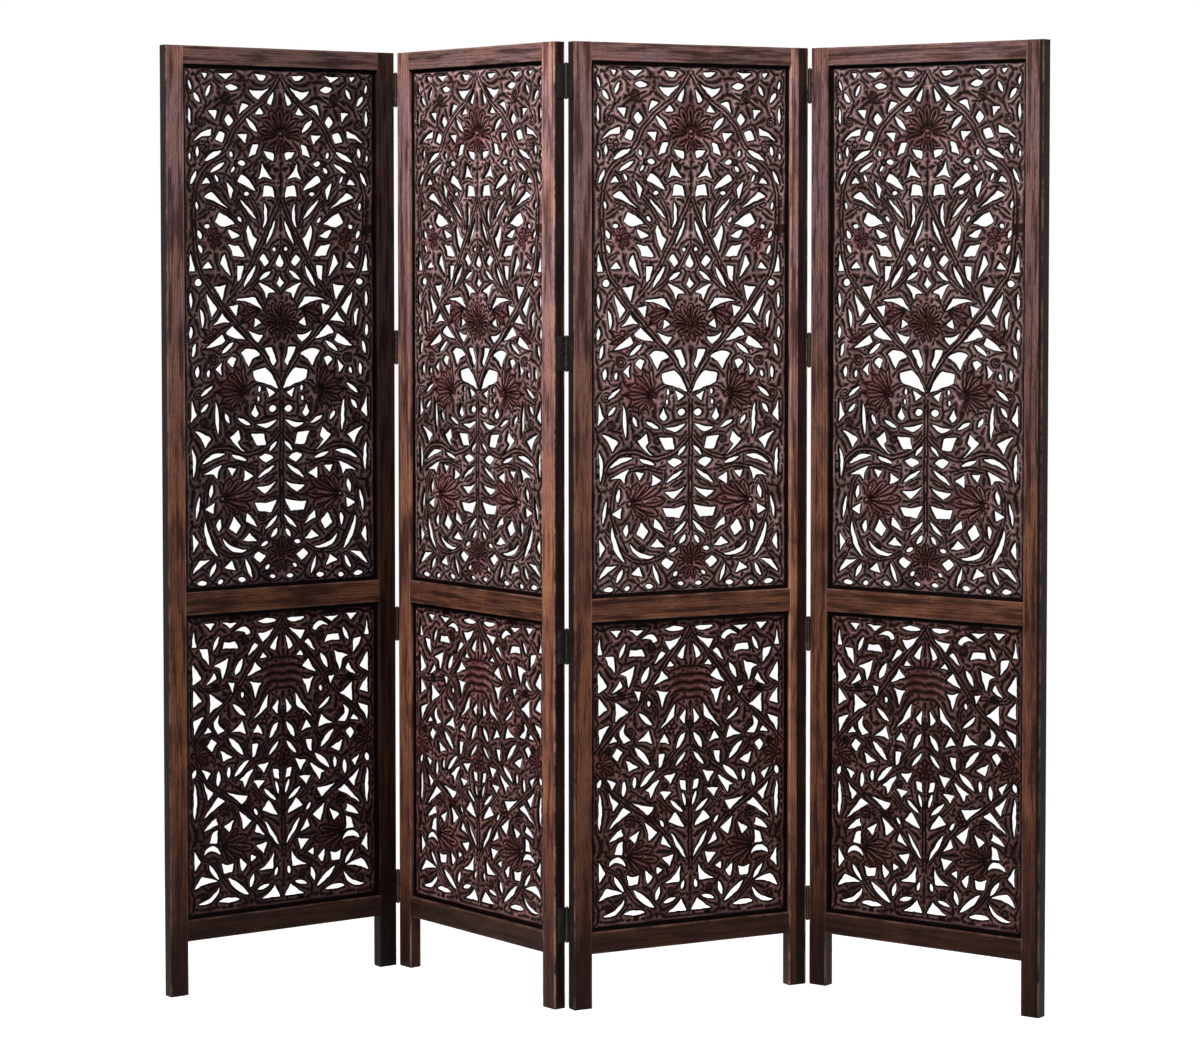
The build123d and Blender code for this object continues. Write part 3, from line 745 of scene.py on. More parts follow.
class Wiring:
    """Builds the nodes of a material or of the surround, with a short call for each kind."""

    def __init__(self, owner: bpy.types.Material | bpy.types.World) -> None:
        """Starts with an empty tree.

        Args:
            owner: What the tree belongs to.
        """
        owner.use_nodes = True
        self.tree = owner.node_tree
        self.tree.nodes.clear()

    def node(self, kind: str, **settings: object) -> bpy.types.Node:
        """Adds a node.

        Args:
            kind: The node's type.
            settings: Its properties.

        Returns:
            The node.
        """
        made = self.tree.nodes.new(kind)
        for key, value in settings.items():
            setattr(made, key, value)
        return made

    def feed(self, socket: bpy.types.NodeSocket, value: object) -> None:
        """Links a socket to an output, or sets its value.

        Args:
            socket: The input.
            value: The output or the value.
        """
        if isinstance(value, bpy.types.NodeSocket):
            self.tree.links.new(value, socket)
        else:
            socket.default_value = value

    def sum(self, operation: str, a: object, b: object) -> object:
        """Works out one value from two.

        Args:
            operation: The Math node's operation.
            a: The first value.
            b: The second value.

        Returns:
            The result's output.
        """
        made = self.node("ShaderNodeMath", operation=operation)
        self.feed(made.inputs[0], a)
        self.feed(made.inputs[1], b)
        return made.outputs[0]

    def shown_plain(self) -> object:
        """Value that is 1 for rays from the camera and for mirrored and refracted rays.

        Returns:
            The value's output.
        """
        path = self.node("ShaderNodeLightPath").outputs
        seen = self.sum("MAXIMUM", path["Is Camera Ray"], path["Is Glossy Ray"])
        return self.sum("MAXIMUM", seen, path["Is Transmission Ray"])

    def close(self, kind: str, share: object, first: object, second: object) -> None:
        """Mixes two shaders and closes the tree with them.

        Args:
            kind: The output node's type.
            share: How much of the second shader shows.
            first: The first shader.
            second: The second shader.
        """
        both = self.node("ShaderNodeMixShader")
        for socket, value in zip(both.inputs, (share, first, second)):
            self.feed(socket, value)
        self.feed(self.node(kind).inputs["Surface"], both.outputs[0])


class Paint(Wiring):
    """Builds one material's nodes."""

    def __init__(self, name: str) -> None:
        """Starts an empty material.

        Args:
            name: The material's name.
        """
        self.material = bpy.data.materials.new(name)
        super().__init__(self.material)

    def place(self, turn: float, centre: Vector, stretch: tuple[float, float, float]) -> object:
        """Object coordinates measured from a centre, turned to panel axes and stretched.

        Args:
            turn: The panel's heading, in radians.
            centre: The point that becomes the origin.
            stretch: Scale along each panel axis.

        Returns:
            The vector output.
        """
        where = self.node("ShaderNodeTexCoord").outputs["Object"]
        shift = self.node("ShaderNodeVectorMath", operation="SUBTRACT")
        self.feed(shift.inputs[0], where)
        self.feed(shift.inputs[1], tuple(centre))
        level = self.node("ShaderNodeMapping")
        self.feed(level.inputs["Vector"], shift.outputs[0])
        level.inputs["Rotation"].default_value = (0.0, 0.0, -turn)
        sized = self.node("ShaderNodeMapping")
        self.feed(sized.inputs["Vector"], level.outputs[0])
        sized.inputs["Scale"].default_value = stretch
        return sized.outputs[0]

    def noise(self, where: object, scale: float, detail: float = 4.0, rough: float = 0.55) -> object:
        """Adds a noise texture.

        Args:
            where: The vector that it reads.
            scale: Its scale.
            detail: Its number of octaves.
            rough: The share that each octave adds.

        Returns:
            Its value output.
        """
        made = self.node("ShaderNodeTexNoise")
        self.feed(made.inputs["Vector"], where)
        made.inputs["Scale"].default_value = scale
        made.inputs["Detail"].default_value = detail
        made.inputs["Roughness"].default_value = rough
        return made.outputs[0]

    def fit(self, value: object, low: float, high: float, to_low: float, to_high: float) -> object:
        """Maps a range of values smoothly onto another, without passing its ends.

        Args:
            value: The value mapped.
            low: Start of its range.
            high: End of its range.
            to_low: What the start becomes.
            to_high: What the end becomes.

        Returns:
            The mapped value's output.
        """
        made = self.node("ShaderNodeMapRange", interpolation_type="SMOOTHSTEP")
        for socket, given in zip(made.inputs, (value, low, high, to_low, to_high)):
            self.feed(socket, given)
        return made.outputs[0]

    def mix(self, share: object, a: object, b: object) -> object:
        """Mixes two colours, each an output or three linear numbers.

        Args:
            share: How much of the second colour shows.
            a: The first colour.
            b: The second colour.

        Returns:
            The mixed colour's output.
        """
        made = self.node("ShaderNodeMix", data_type="RGBA")
        self.feed(made.inputs["Factor"], share)
        for socket, colour in ((made.inputs[6], a), (made.inputs[7], b)):
            self.feed(socket, (*colour, 1.0) if isinstance(colour, tuple) else colour)
        return made.outputs[2]

    def attribute(self, name: str) -> object:
        """Value output of an attribute stored on the mesh."""
        return self.node("ShaderNodeAttribute", attribute_name=name).outputs["Fac"]

    def bump(self, height: object, strength: float, distance: float) -> object:
        """Turns a height into a normal.

        Args:
            height: The height.
            strength: How strongly it shows.
            distance: Metres that a height of 1 stands for.

        Returns:
            The normal's output.
        """
        made = self.node("ShaderNodeBump")
        made.inputs["Strength"].default_value = strength
        made.inputs["Distance"].default_value = distance
        self.feed(made.inputs["Height"], height)
        return made.outputs[0]

    def finish(self, colour: object, rough: object, normal: object, **constants: float) -> bpy.types.Material:
        """Closes the material with one Principled shader.

        Args:
            colour: Base colour.
            rough: Roughness.
            normal: Normal output.
            constants: Values for further sockets, with underscores for spaces.

        Returns:
            The material.
        """
        shader = self.node("ShaderNodeBsdfPrincipled")
        self.feed(shader.inputs["Base Color"], colour)
        self.feed(shader.inputs["Roughness"], rough)
        self.feed(shader.inputs["Normal"], normal)
        for key, value in constants.items():
            shader.inputs[key.replace("_", " ")].default_value = value
        out = self.node("ShaderNodeOutputMaterial")
        self.feed(out.inputs["Surface"], shader.outputs[0])
        return self.material


def linear(red: int, green: int, blue: int) -> Colour:
    """Linear colour from sRGB numbers out of 255.

    Args:
        red: The red number.
        green: The green number.
        blue: The blue number.

    Returns:
        The colour.
    """
    parts = []
    for part in (red, green, blue):
        c = part / 255
        parts.append(c / 12.92 if c <= 0.04045 else ((c + 0.055) / 1.055) ** 2.4)
    return (parts[0], parts[1], parts[2])


class Grain(Enum):
    """Which way a timber's grain runs."""

    UPRIGHT = "upright"
    LEVEL = "level"


def toned(colour: Colour, strength: float) -> Colour:
    """The same colour, lighter or deeper."""
    return (colour[0] * strength, colour[1] * strength, colour[2] * strength)


@dataclass(frozen=True)
class FrameTimber:
    """Walnut stain on planed sheesham: streaked and rubbed at the arrises, with a painted sheen that makes it
    paler and more grey towards the top, painted shade towards the foot, and painted shade on a stile's outer
    edge.
    """

    base: Colour = linear(106, 67, 55)
    dark: Colour = linear(38, 19, 16)
    golden: Colour = linear(138, 90, 65)
    painted_top_sheen: Colour = linear(130, 102, 104)
    worn: Colour = linear(148, 114, 100)
    # painted shade: the near black laid on a stile's outer edge
    edge: Colour = linear(16, 8, 7)
    rough: float = 0.42
    outer: float = STILE_SHADE_FROM
    # Where the painted shade on an upright's outer edge starts, in metres from the panel's middle.
    """Where an upright's dark outer edge starts, in metres from the panel's middle."""
    edge_shade_blend: float = 0.0007
    worn_from: float = 0.0042
    """Distance from an arris at which the rubbing starts."""
    worn_to: float = 0.0008

    def at_strength(self, strength: float) -> FrameTimber:
        """The same timber drawn lighter or deeper, for real differences in stain and for painted light and
        shade.
        """
        names = ("base", "dark", "golden", "painted_top_sheen", "worn")
        return replace(self, **{name: toned(getattr(self, name), strength) for name in names})

    def make(
        self, name: str, place: PanelPlace, grain: Grain, middle: Vector, half: Vector
    ) -> bpy.types.Material:
        """Builds the finish for timbers of one size on one panel.

        Args:
            name: The material's name.
            place: The panel.
            grain: Which way the grain runs.
            middle: Middle of the timber's section, in panel axes; its x counts on both sides.
            half: Half sizes of the section; an axis along the timber is 0.

        Returns:
            The material.
        """
        paint = Paint(name)
        upright = grain is Grain.UPRIGHT
        start = place.middle + Vector((0.31 * place.number, 0.17 * place.number, 0.0))
        fibre = paint.place(place.heading, start, (12.0, 12.0, 1.0) if upright else (1.0, 12.0, 12.0))
        plain = paint.place(place.heading, place.middle, (1.0, 1.0, 1.0))
        parts = paint.node("ShaderNodeSeparateXYZ")
        paint.feed(parts.inputs[0], plain)
        height = parts.outputs[2]
        broad = paint.noise(plain, 6.5, 3.0)
        streak = paint.noise(fibre, 7.0, 5.0, 0.6)
        fine = paint.noise(fibre, 34.0, 5.0, 0.65)
        pores = paint.fit(paint.noise(fibre, 88.0, 2.0), 0.56, 0.66, 0.0, 1.0)
        figure = paint.node("ShaderNodeTexWave", wave_type="BANDS", bands_direction="X" if upright else "Z")
        paint.feed(figure.inputs["Vector"], fibre)
        for key, value in (("Scale", 4.6), ("Distortion", 7.0), ("Detail", 3.0), ("Detail Scale", 0.8)):
            figure.inputs[key].default_value = value
        warm = paint.mix(paint.fit(broad, 0.42, 0.60, 0.0, 0.85), self.base, self.golden)
        # painted sheen: the frame is drawn paler and more grey towards the top, patchily, where the light
        # falls
        higher, uneven = paint.fit(height, 0.7, 1.6, 0.0, 0.9), paint.fit(broad, 0.3, 0.65, 1.0, 0.55)
        top_sheen_share = paint.sum("MULTIPLY", higher, uneven)
        colour = paint.mix(top_sheen_share, warm, self.painted_top_sheen)
        colour = paint.mix(paint.fit(streak, 0.44, 0.62, 0.0, 0.80), colour, self.dark)
        colour = paint.mix(paint.fit(figure.outputs["Fac"], 0.62, 0.95, 0.0, 0.35), colour, self.dark)
        colour = paint.mix(paint.fit(fine, 0.46, 0.68, 0.0, 0.42), colour, self.dark)
        colour = paint.mix(paint.sum("MULTIPLY", pores, 0.6), colour, toned(self.dark, 0.5))
        # painted shade: the frame is drawn deeper towards the foot, where less light reaches
        colour = paint.mix(paint.fit(height, 0.0, 0.42, 0.92, 0.0), colour, toned(self.dark, 0.7))
        masks = []
        for axis in range(3):
            if half[axis] == 0:
                continue
            off = parts.outputs[axis]
            if axis == 0:
                off = paint.sum("ABSOLUTE", off, 0.0)
            off = paint.sum("ABSOLUTE", paint.sum("SUBTRACT", off, middle[axis]), 0.0)
            masks.append(paint.fit(off, half[axis] - self.worn_from, half[axis] - self.worn_to, 0.0, 1.0))
        # painted shade: a stile's outer edge is drawn near black, as where it falls in shadow
        if upright:
            out = paint.sum("ABSOLUTE", parts.outputs[0], 0.0)
            edge_shade = paint.fit(out, self.outer, self.outer + self.edge_shade_blend, 0.0, 0.94)
            colour = paint.mix(edge_shade, colour, self.edge)
        edge = paint.sum("MULTIPLY", masks[0], masks[1])
        patchy = paint.fit(paint.noise(plain, 13.0, 5.0, 0.7), 0.42, 0.62, 0.05, 0.6)
        colour = paint.mix(paint.sum("MULTIPLY", edge, patchy), colour, self.worn)
        rough = paint.fit(fine, 0.3, 0.7, self.rough - 0.06, self.rough + 0.16)
        bump = paint.bump(paint.sum("SUBTRACT", fine, pores), 0.35, 0.0006)
        return paint.finish(colour, rough, bump, Specular_IOR_Level=0.07)


@dataclass(frozen=True)
class JaliTimber:
    """The same stain on the carved boards, near black in the recesses as gathered stain with painted shade,
    and pale on the crests as wear with a painted highlight.
    """

    base: Colour = linear(67, 43, 40)
    dark: Colour = linear(34, 18, 16)
    # gathered stain with painted shade: the near black of the recesses
    pooled_stain_and_shade: Colour = linear(7, 2, 2)
    # rubbed and blush are the pale colours of the crests: wear with a painted highlight
    rubbed: Colour = linear(174, 143, 140)
    flower: Colour = linear(94, 44, 45)
    blush: Colour = linear(166, 113, 111)
    rough: float = 0.46

    def at_strength(self, strength: float) -> JaliTimber:
        """The same timber drawn lighter or deeper, for real differences in stain and for painted light and
        shade.
        """
        names = ("base", "dark", "pooled_stain_and_shade", "rubbed", "flower", "blush")
        return replace(self, **{name: toned(getattr(self, name), strength) for name in names})

    def make(self, name: str, place: PanelPlace) -> bpy.types.Material:
        """Builds the finish for one carved board.

        Args:
            name: The material's name.
            place: The panel.

        Returns:
            The material.
        """
        paint = Paint(name)
        fibre = paint.place(place.heading, place.middle, (10.0, 10.0, 1.0))
        plain = paint.place(place.heading, place.middle, (1.0, 1.0, 1.0))
        broad = paint.noise(plain, 7.0, 3.0)
        fine = paint.noise(fibre, 24.0, 6.0, 0.65)
        mottle = paint.noise(plain, 42.0, 5.0, 0.7)
        colour = paint.mix(paint.fit(broad, 0.40, 0.62, 0.0, 0.7), self.base, self.dark)
        colour = paint.mix(paint.fit(mottle, 0.44, 0.64, 0.0, 0.6), colour, self.dark)
        colour = paint.mix(paint.fit(fine, 0.45, 0.68, 0.0, 0.4), colour, self.dark)
        bloom = paint.sum("MULTIPLY", paint.attribute("bloom"), paint.fit(broad, 0.35, 0.6, 0.65, 0.35))
        colour = paint.mix(bloom, colour, self.flower)
        # the crests are drawn pale, patchily: wear with a painted highlight
        patchy_wear_and_highlight = paint.fit(paint.noise(plain, 15.0, 2.0), 0.40, 0.60, 0.45, 1.0)
        rub = paint.sum("MULTIPLY", paint.fit(mottle, 0.40, 0.62, 1.0, 0.40), patchy_wear_and_highlight)
        ridge = paint.mix(bloom, self.rubbed, self.blush)
        colour = paint.mix(paint.sum("MULTIPLY", paint.attribute("crest_wear_and_highlight"), rub), colour, ridge)
        # painted shade with gathered stain: the recesses are drawn near black
        colour = paint.mix(paint.attribute("pooling_and_shade"), colour, self.pooled_stain_and_shade)
        rough = paint.fit(mottle, 0.3, 0.7, self.rough - 0.06, self.rough + 0.14)
        return paint.finish(colour, rough, paint.bump(fine, 0.3, 0.0006), Specular_IOR_Level=0.04)


@dataclass(frozen=True)
class Ironwork:
    """Metal with a blackened or dull skin, rubbed bright in patches."""

    base: Colour = linear(52, 48, 45)
    rubbed: Colour = linear(112, 104, 96)
    rough: float = 0.42
    metallic: float = 0.85

    def make(self, name: str) -> bpy.types.Material:
        """Builds the finish.

        Args:
            name: The material's name.

        Returns:
            The material.
        """
        paint = Paint(name)
        where = paint.place(0.0, Vector(), (1.0, 1.0, 1.0))
        skin = paint.noise(where, 160.0, 6.0, 0.7)
        patch = paint.noise(where, 38.0, 3.0)
        patchy, speckled = paint.fit(patch, 0.5, 0.72, 0.0, 1.0), paint.fit(skin, 0.45, 0.7, 0.1, 0.8)
        rub = paint.sum("MULTIPLY", patchy, speckled)
        colour = paint.mix(rub, self.base, self.rubbed)
        rough = paint.fit(skin, 0.3, 0.7, self.rough - 0.08, self.rough + 0.16)
        return paint.finish(colour, rough, paint.bump(skin, 0.2, 0.0004), Metallic=self.metallic)


# ---- Geometry nodes: the carver's last pass ---------------------------------------------


class Recipe:
    """Builds a Geometry Nodes tree with named inputs."""

    def __init__(self, name: str) -> None:
        """Starts a tree that takes and gives geometry.

        Args:
            name: The tree's name.
        """
        self.tree = bpy.data.node_groups.new(name, "GeometryNodeTree")
        self.socket("Geometry", "NodeSocketGeometry")
        self.tree.interface.new_socket("Geometry", in_out="OUTPUT", socket_type="NodeSocketGeometry")
        self.given = self.tree.nodes.new("NodeGroupInput")
        self.result = self.tree.nodes.new("NodeGroupOutput")

    def socket(self, name: str, kind: str) -> None:
        """Adds a named input."""
        self.tree.interface.new_socket(name, in_out="INPUT", socket_type=kind)

    def node(
        self, kind: str, inputs: dict[str | int, object] | None = None, **settings: object
    ) -> bpy.types.Node:
        """Adds a node.

        Args:
            kind: The node's type.
            inputs: Values or outputs for its sockets, by name or number.
            settings: Its properties.

        Returns:
            The node.
        """
        made = self.tree.nodes.new(kind)
        for key, value in settings.items():
            setattr(made, key, value)
        for key, value in (inputs or {}).items():
            if isinstance(value, bpy.types.NodeSocket):
                self.tree.links.new(value, made.inputs[key])
            else:
                made.inputs[key].default_value = value
        return made

    def run(self, piece: bpy.types.Object, **values: object) -> bpy.types.Mesh:
        """Runs the tree on a piece, and gives back a plain mesh.

        Args:
            piece: The piece, which ends without a modifier.
            values: The named inputs, with underscores for spaces.

        Returns:
            The mesh made.
        """
        modifier = piece.modifiers.new(self.tree.name, "NODES")
        modifier.node_group = self.tree
        keys = {s.name: s.identifier for s in self.tree.interface.items_tree if s.in_out == "INPUT"}
        for key, value in values.items():
            modifier[keys[key.replace("_", " ")]] = value
        depsgraph = bpy.context.evaluated_depsgraph_get()
        made = bpy.data.meshes.new_from_object(piece.evaluated_get(depsgraph), depsgraph=depsgraph)
        piece.modifiers.remove(modifier)
        return made


def carving_recipe() -> Recipe:
    """Tree that sinks a board by its stored relief, roughens it, and sets seed beads on its flowers.

    Returns:
        The tree, run on a board that lies in panel axes.
    """
    recipe = Recipe("carve_board")
    recipe.socket("Depth", "NodeSocketFloat")
    recipe.socket("Gouge Marks", "NodeSocketFloat")
    recipe.socket("Seed", "NodeSocketFloat")
    recipe.socket("Material", "NodeSocketMaterial")
    given = recipe.given.outputs

    def named(name: str) -> bpy.types.NodeSocket:
        """Output of a stored attribute."""
        return recipe.node("GeometryNodeInputNamedAttribute", {"Name": name}).outputs["Attribute"]

    def math_of(operation: str, a: object, b: object) -> bpy.types.NodeSocket:
        """Output of a Math node."""
        return recipe.node("ShaderNodeMath", {0: a, 1: b}, operation=operation).outputs[0]

    marks = recipe.node(
        "ShaderNodeTexNoise", {"W": given["Seed"], "Scale": 95.0, "Detail": 2.0}, noise_dimensions="4D"
    ).outputs[0]
    marks = math_of("MULTIPLY", math_of("SUBTRACT", marks, 0.5), given["Gouge Marks"])
    marks = math_of("MULTIPLY", marks, named("carved"))
    sink = math_of("ADD", math_of("MULTIPLY", named("relief"), given["Depth"]), marks)
    shift = recipe.node("ShaderNodeCombineXYZ", {"Y": sink}).outputs[0]
    carved = recipe.node("GeometryNodeSetPosition", {"Geometry": given["Geometry"], "Offset": shift})
    radius = named("bead")
    beads = recipe.node(
        "GeometryNodeMeshToPoints",
        {"Mesh": carved.outputs[0], "Selection": math_of("GREATER_THAN", radius, 0.0)},
    )
    bead = recipe.node("GeometryNodeMeshUVSphere", {"Segments": 16, "Rings": 10, "Radius": 1.0})
    size = recipe.node(
        "ShaderNodeCombineXYZ", {"X": radius, "Y": math_of("MULTIPLY", radius, 0.7), "Z": radius}
    )
    placed = recipe.node(
        "GeometryNodeInstanceOnPoints",
        {"Points": beads.outputs[0], "Instance": bead.outputs[0], "Scale": size.outputs[0]},
    )
    whole = recipe.node("GeometryNodeJoinGeometry")
    recipe.tree.links.new(placed.outputs[0], whole.inputs[0])
    recipe.tree.links.new(carved.outputs[0], whole.inputs[0])
    real = recipe.node("GeometryNodeRealizeInstances", {0: whole.outputs[0]})
    painted = recipe.node(
        "GeometryNodeSetMaterial", {"Geometry": real.outputs[0], "Material": given["Material"]}
    )
    recipe.tree.links.new(painted.outputs[0], recipe.result.inputs[0])
    return recipe


# ---- Sub-assemblies --------------------------------------------------------------------


class Sheet(Enum):
    """Which of a panel's two boards; the value ends its node's name."""

    TALL = "tall_jali"
    SHORT = "short_jali"


@dataclass(frozen=True)
class Openings:
    """A board's openings, softened and strayed as a carver leaves them."""

    rims: list[np.ndarray]
    dense: list[np.ndarray]
    """Closely spaced points along each rim."""
    edges: KDTree
    """Those points as a search tree."""


@dataclass(frozen=True)
class Drawing:
    """What is set out on one board before it is cut, on the sheet in millimetres."""

    openings: Openings
    bounds: KDTree
    """Dense points along the openings and the inner edge of the sunk border."""
    ruled: list[np.ndarray]
    """Points along each cut."""
    spines: np.ndarray
    """Points along the middle of broad wood that no cut crosses."""
    floors: KDTree
    """Dense points along the cuts, then the spines."""
    depths: np.ndarray
    """How deep the board is cut at each of those."""
    crests: np.ndarray
    """Points along the ridges left between cuts."""
    back_cuts: list[np.ndarray]
    """Points along each line on the back."""


def held(values: np.ndarray) -> np.ndarray:
    """The values, held between 0 and 1."""
    return np.clip(values, 0, 1)


@dataclass
class CarvedBoard:
    """A pierced board with its carving, which stands for a plain board of the CAD frame.

    Sizes are in millimetres. A reach is how far from its line a cut still slopes, and a drop is how
    far the wood falls there.
    """

    sheet: Sheet
    foot: float
    carving: Carving
    half_width: float = 216.0
    stray: float = 1.1
    step: float = 1.25
    """Spacing of the raster on which ridges are searched for."""
    ridge_fall: float = 0.30
    """How much a distance falls off beside a ridge, for each millimetre."""
    rim_gap: float = 2.5
    rim_soften: float = 2.2
    rim_drop: float = 3.6
    rim_reach: float = 7.0
    rim_curve: float = 1.35
    dense_rim: float = 0.6
    cut_reach: float = 4.6
    cut_gain: float = 1.35
    cut_curve: float = 1.2
    dense_cut: float = 0.7
    overlap: float = 0.35
    """Share of the shallower of two slopes that is added where they cross."""
    spine: float = 4.3
    """Least distance of a spine from the openings."""
    spine_off_cut: float = 3.6
    spine_depth: float = 1.5
    crest_clear: float = 1.1
    border: float = 3.8
    border_drop: float = 2.8
    back_drop: float = 2.4
    back_reach: float = 3.4
    back_cut_depth: float = 1.3
    back_cut_reach: float = 3.2
    fill_gap: float = 4.4
    back_gap: float = 7.0

    def cuts(self) -> list[Cut]:
        """Every cut of the carving, on both halves of the sheet."""
        half = [cut for motif in self.carving.motifs for cut in motif.cuts()]
        return half + [Cut(cut.line * (-1, 1), cut.depth) for cut in half]

    def back_lines(self) -> list[np.ndarray]:
        """Every line cut on the back, on both halves of the sheet."""
        half = [hand_cut(line, self.stray) for motif in self.carving.motifs for line in motif.back_lines()]
        return half + [line * (-1, 1) for line in half]

    def beads(self) -> list[tuple[float, float, float]]:
        """Place and radius of every seed bead, on both halves of the sheet."""
        return [(side * u, v, r) for u, v, r in self.carving.seeds for side in ((1, -1) if u else (1,))]

    def from_frame(self, points: np.ndarray) -> np.ndarray:
        """Distance of points inside the edge of the frame that holds the board."""
        across = self.half_width - np.abs(points[:, 0])
        return np.minimum(across, np.minimum(points[:, 1], self.carving.sheet_height - points[:, 1]))

    def in_wood(self, openings: Openings, points: np.ndarray, clear: float) -> np.ndarray:
        """Keeps points on the sheet that stand clear of every opening.

        Args:
            openings: The board's openings.
            points: The points tried.
            clear: The least distance from an opening's edge.

        Returns:
            The points kept.
        """
        points = points[self.from_frame(points) > -0.5]
        points = points[nearest(openings.edges, points)[1] > clear]
        keep = np.ones(len(points), bool)
        for loop in openings.rims:
            low, high = loop.min(axis=0), loop.max(axis=0)
            near = np.flatnonzero(((points > low) & (points < high)).all(axis=1) & keep)
            keep[near[inside(points[near], loop)]] = False
        return points[keep]

    def lattice(self, gap: float) -> np.ndarray:
        """Makes a triangular lattice over the sheet.

        Args:
            gap: The distance between its points.

        Returns:
            Its points.
        """
        rows = np.arange(3.0, self.carving.sheet_height - 2, gap * 0.866)
        across = np.arange(-self.half_width + 3, self.half_width - 2, gap)
        lines = [(across + gap / 2 * (i % 2), v) for i, v in enumerate(rows)]
        return np.vstack([np.column_stack([line, np.full(len(line), v)]) for line, v in lines])

    def beside(self, lines: list[np.ndarray], reach: float) -> np.ndarray:
        """Makes points on both sides of some lines.

        Args:
            lines: The lines.
            reach: The distance from them.

        Returns:
            The points.
        """
        made = []
        for line in lines:
            way = np.gradient(line, axis=0)
            left = np.column_stack([-way[:, 1], way[:, 0]]) / (np.linalg.norm(way, axis=1)[:, None] + 1e-9)
            made += [line + left * reach, line - left * reach]
        return np.vstack(made)

    def border_loop(self, inset: float, gap: float) -> np.ndarray:
        """Points round the board at one distance inside its frame."""
        u, low, high = self.half_width - inset, inset, self.carving.sheet_height - inset
        return run_of_corners(np.array([(-u, low), (u, low), (u, high), (-u, high)]), gap)

    def border_lines(self, gap: float) -> np.ndarray:
        """Points along the fillet that is sunk round the board beside its frame."""
        insets = (0.4, self.border - 1.2, self.border + 0.4, self.border + 2.2)
        return np.vstack([self.border_loop(inset, gap) for inset in insets])

    def raster(self) -> np.ndarray:
        """Makes the grid of points on which distances are searched for ridges.

        Returns:
            The points, in rows and columns over the sheet.
        """
        us = np.arange(-self.half_width + 6, self.half_width - 5, self.step)
        vs = np.arange(6.0, self.carving.sheet_height - 5, self.step)
        return np.stack(np.meshgrid(us, vs, indexing="ij"), axis=-1)

    def ridges(self, grid: np.ndarray, far: np.ndarray, low: float, high: float) -> np.ndarray:
        """Finds points where a distance turns from rising to falling.

        Args:
            grid: The raster.
            far: The distance at each of its points.
            low: Least distance that counts.
            high: Greatest distance that counts.

        Returns:
            The points, those with the greatest distance last.
        """
        core = far[1:-1, 1:-1]
        turned = np.zeros(core.shape, bool)
        for i, j in ((1, 0), (0, 1), (1, 1), (1, -1)):
            drop = self.ridge_fall * self.step * math.hypot(i, j)
            ahead = far[1 + i : far.shape[0] - 1 + i, 1 + j : far.shape[1] - 1 + j]
            behind = far[1 - i : far.shape[0] - 1 - i, 1 - j : far.shape[1] - 1 - j]
            turned |= (core > ahead + drop) & (core >= behind + drop)
        turned &= (core > low) & (core < high)
        return grid[1:-1, 1:-1][turned][np.argsort(core[turned])]

    def cut_openings(self, outline: Outline) -> Openings:
        """Softens the openings of the CAD board and lets them stray.

        Args:
            outline: The board's outline.

        Returns:
            The openings.
        """
        filed = [softened(loop, self.rim_soften, self.rim_gap) for loop in outline.loops[1:]]
        rims = [hand_cut(loop, self.stray) for loop in filed]
        dense = [spaced(loop, self.dense_rim, closed=True) for loop in rims]
        return Openings(rims, dense, tree_of(np.vstack(dense)))

    def draw(self, openings: Openings) -> Drawing:
        """Sets out the cuts on a board, and finds the spines and crests that they leave.

        Args:
            openings: The board's openings.

        Returns:
            The drawing.
        """
        bounds = tree_of(np.vstack([*openings.dense, self.border_loop(self.border + 1.4, 0.8)]))
        cuts = [Cut(hand_cut(cut.line, self.stray), cut.depth) for cut in self.cuts()]
        lines = [spaced(cut.line, self.dense_cut) for cut in cuts]
        grid = self.raster()
        from_rim = nearest(bounds, grid.reshape(-1, 2))[1].reshape(grid.shape[:2])
        spines = self.in_wood(openings, self.ridges(grid, from_rim, self.spine, 40.0), self.spine)
        spines = spines[nearest(tree_of(np.vstack(lines)), spines)[1] > self.spine_off_cut]
        floors = tree_of(np.vstack([*lines, spines]))
        depths = np.concatenate(
            [np.full(len(line), cut.depth) for line, cut in zip(lines, cuts)]
            + [self.spine_depth * np.clip((nearest(bounds, spines)[1] - 3.0) / 3.0, 0.3, 1.0)]
        )
        from_cut = nearest(floors, grid.reshape(-1, 2))[1].reshape(grid.shape[:2])
        crests = self.ridges(grid, np.minimum(from_rim, from_cut), self.crest_clear, 30.0)
        return Drawing(
            openings=openings,
            bounds=bounds,
            ruled=[spaced(cut.line, 2.0) for cut in cuts],
            spines=spines,
            floors=floors,
            depths=depths,
            crests=self.in_wood(openings, crests, self.crest_clear),
            back_cuts=[spaced(line, 2.2) for line in self.back_lines()],
        )

    def lay_faces(self, outline: Outline, drawing: Drawing) -> tuple[FaceMesh, FaceMesh]:
        """Triangulates the front and the plainer back, with more points where the wood is cut.

        Args:
            outline: The board's outline.
            drawing: What is set out on it.

        Returns:
            The front and the back, whose loops match.
        """
        rims = drawing.openings.rims
        loops = [run_of_corners(outline.loops[0], self.rim_gap), *rims]

        def wood(points: np.ndarray, clear: float, apart: float) -> tuple[np.ndarray, float]:
            """Points clear of the openings, with the least distance wanted between them."""
            return self.in_wood(drawing.openings, points, clear), apart

        def face(*groups: tuple[np.ndarray, float]) -> FaceMesh:
            """A face that also has the groups' points, the first groups taken first."""
            given = [(np.vstack(loops), 0.0), *groups]
            return fill_face(loops, thinned(given)[sum(len(loop) for loop in loops) :])

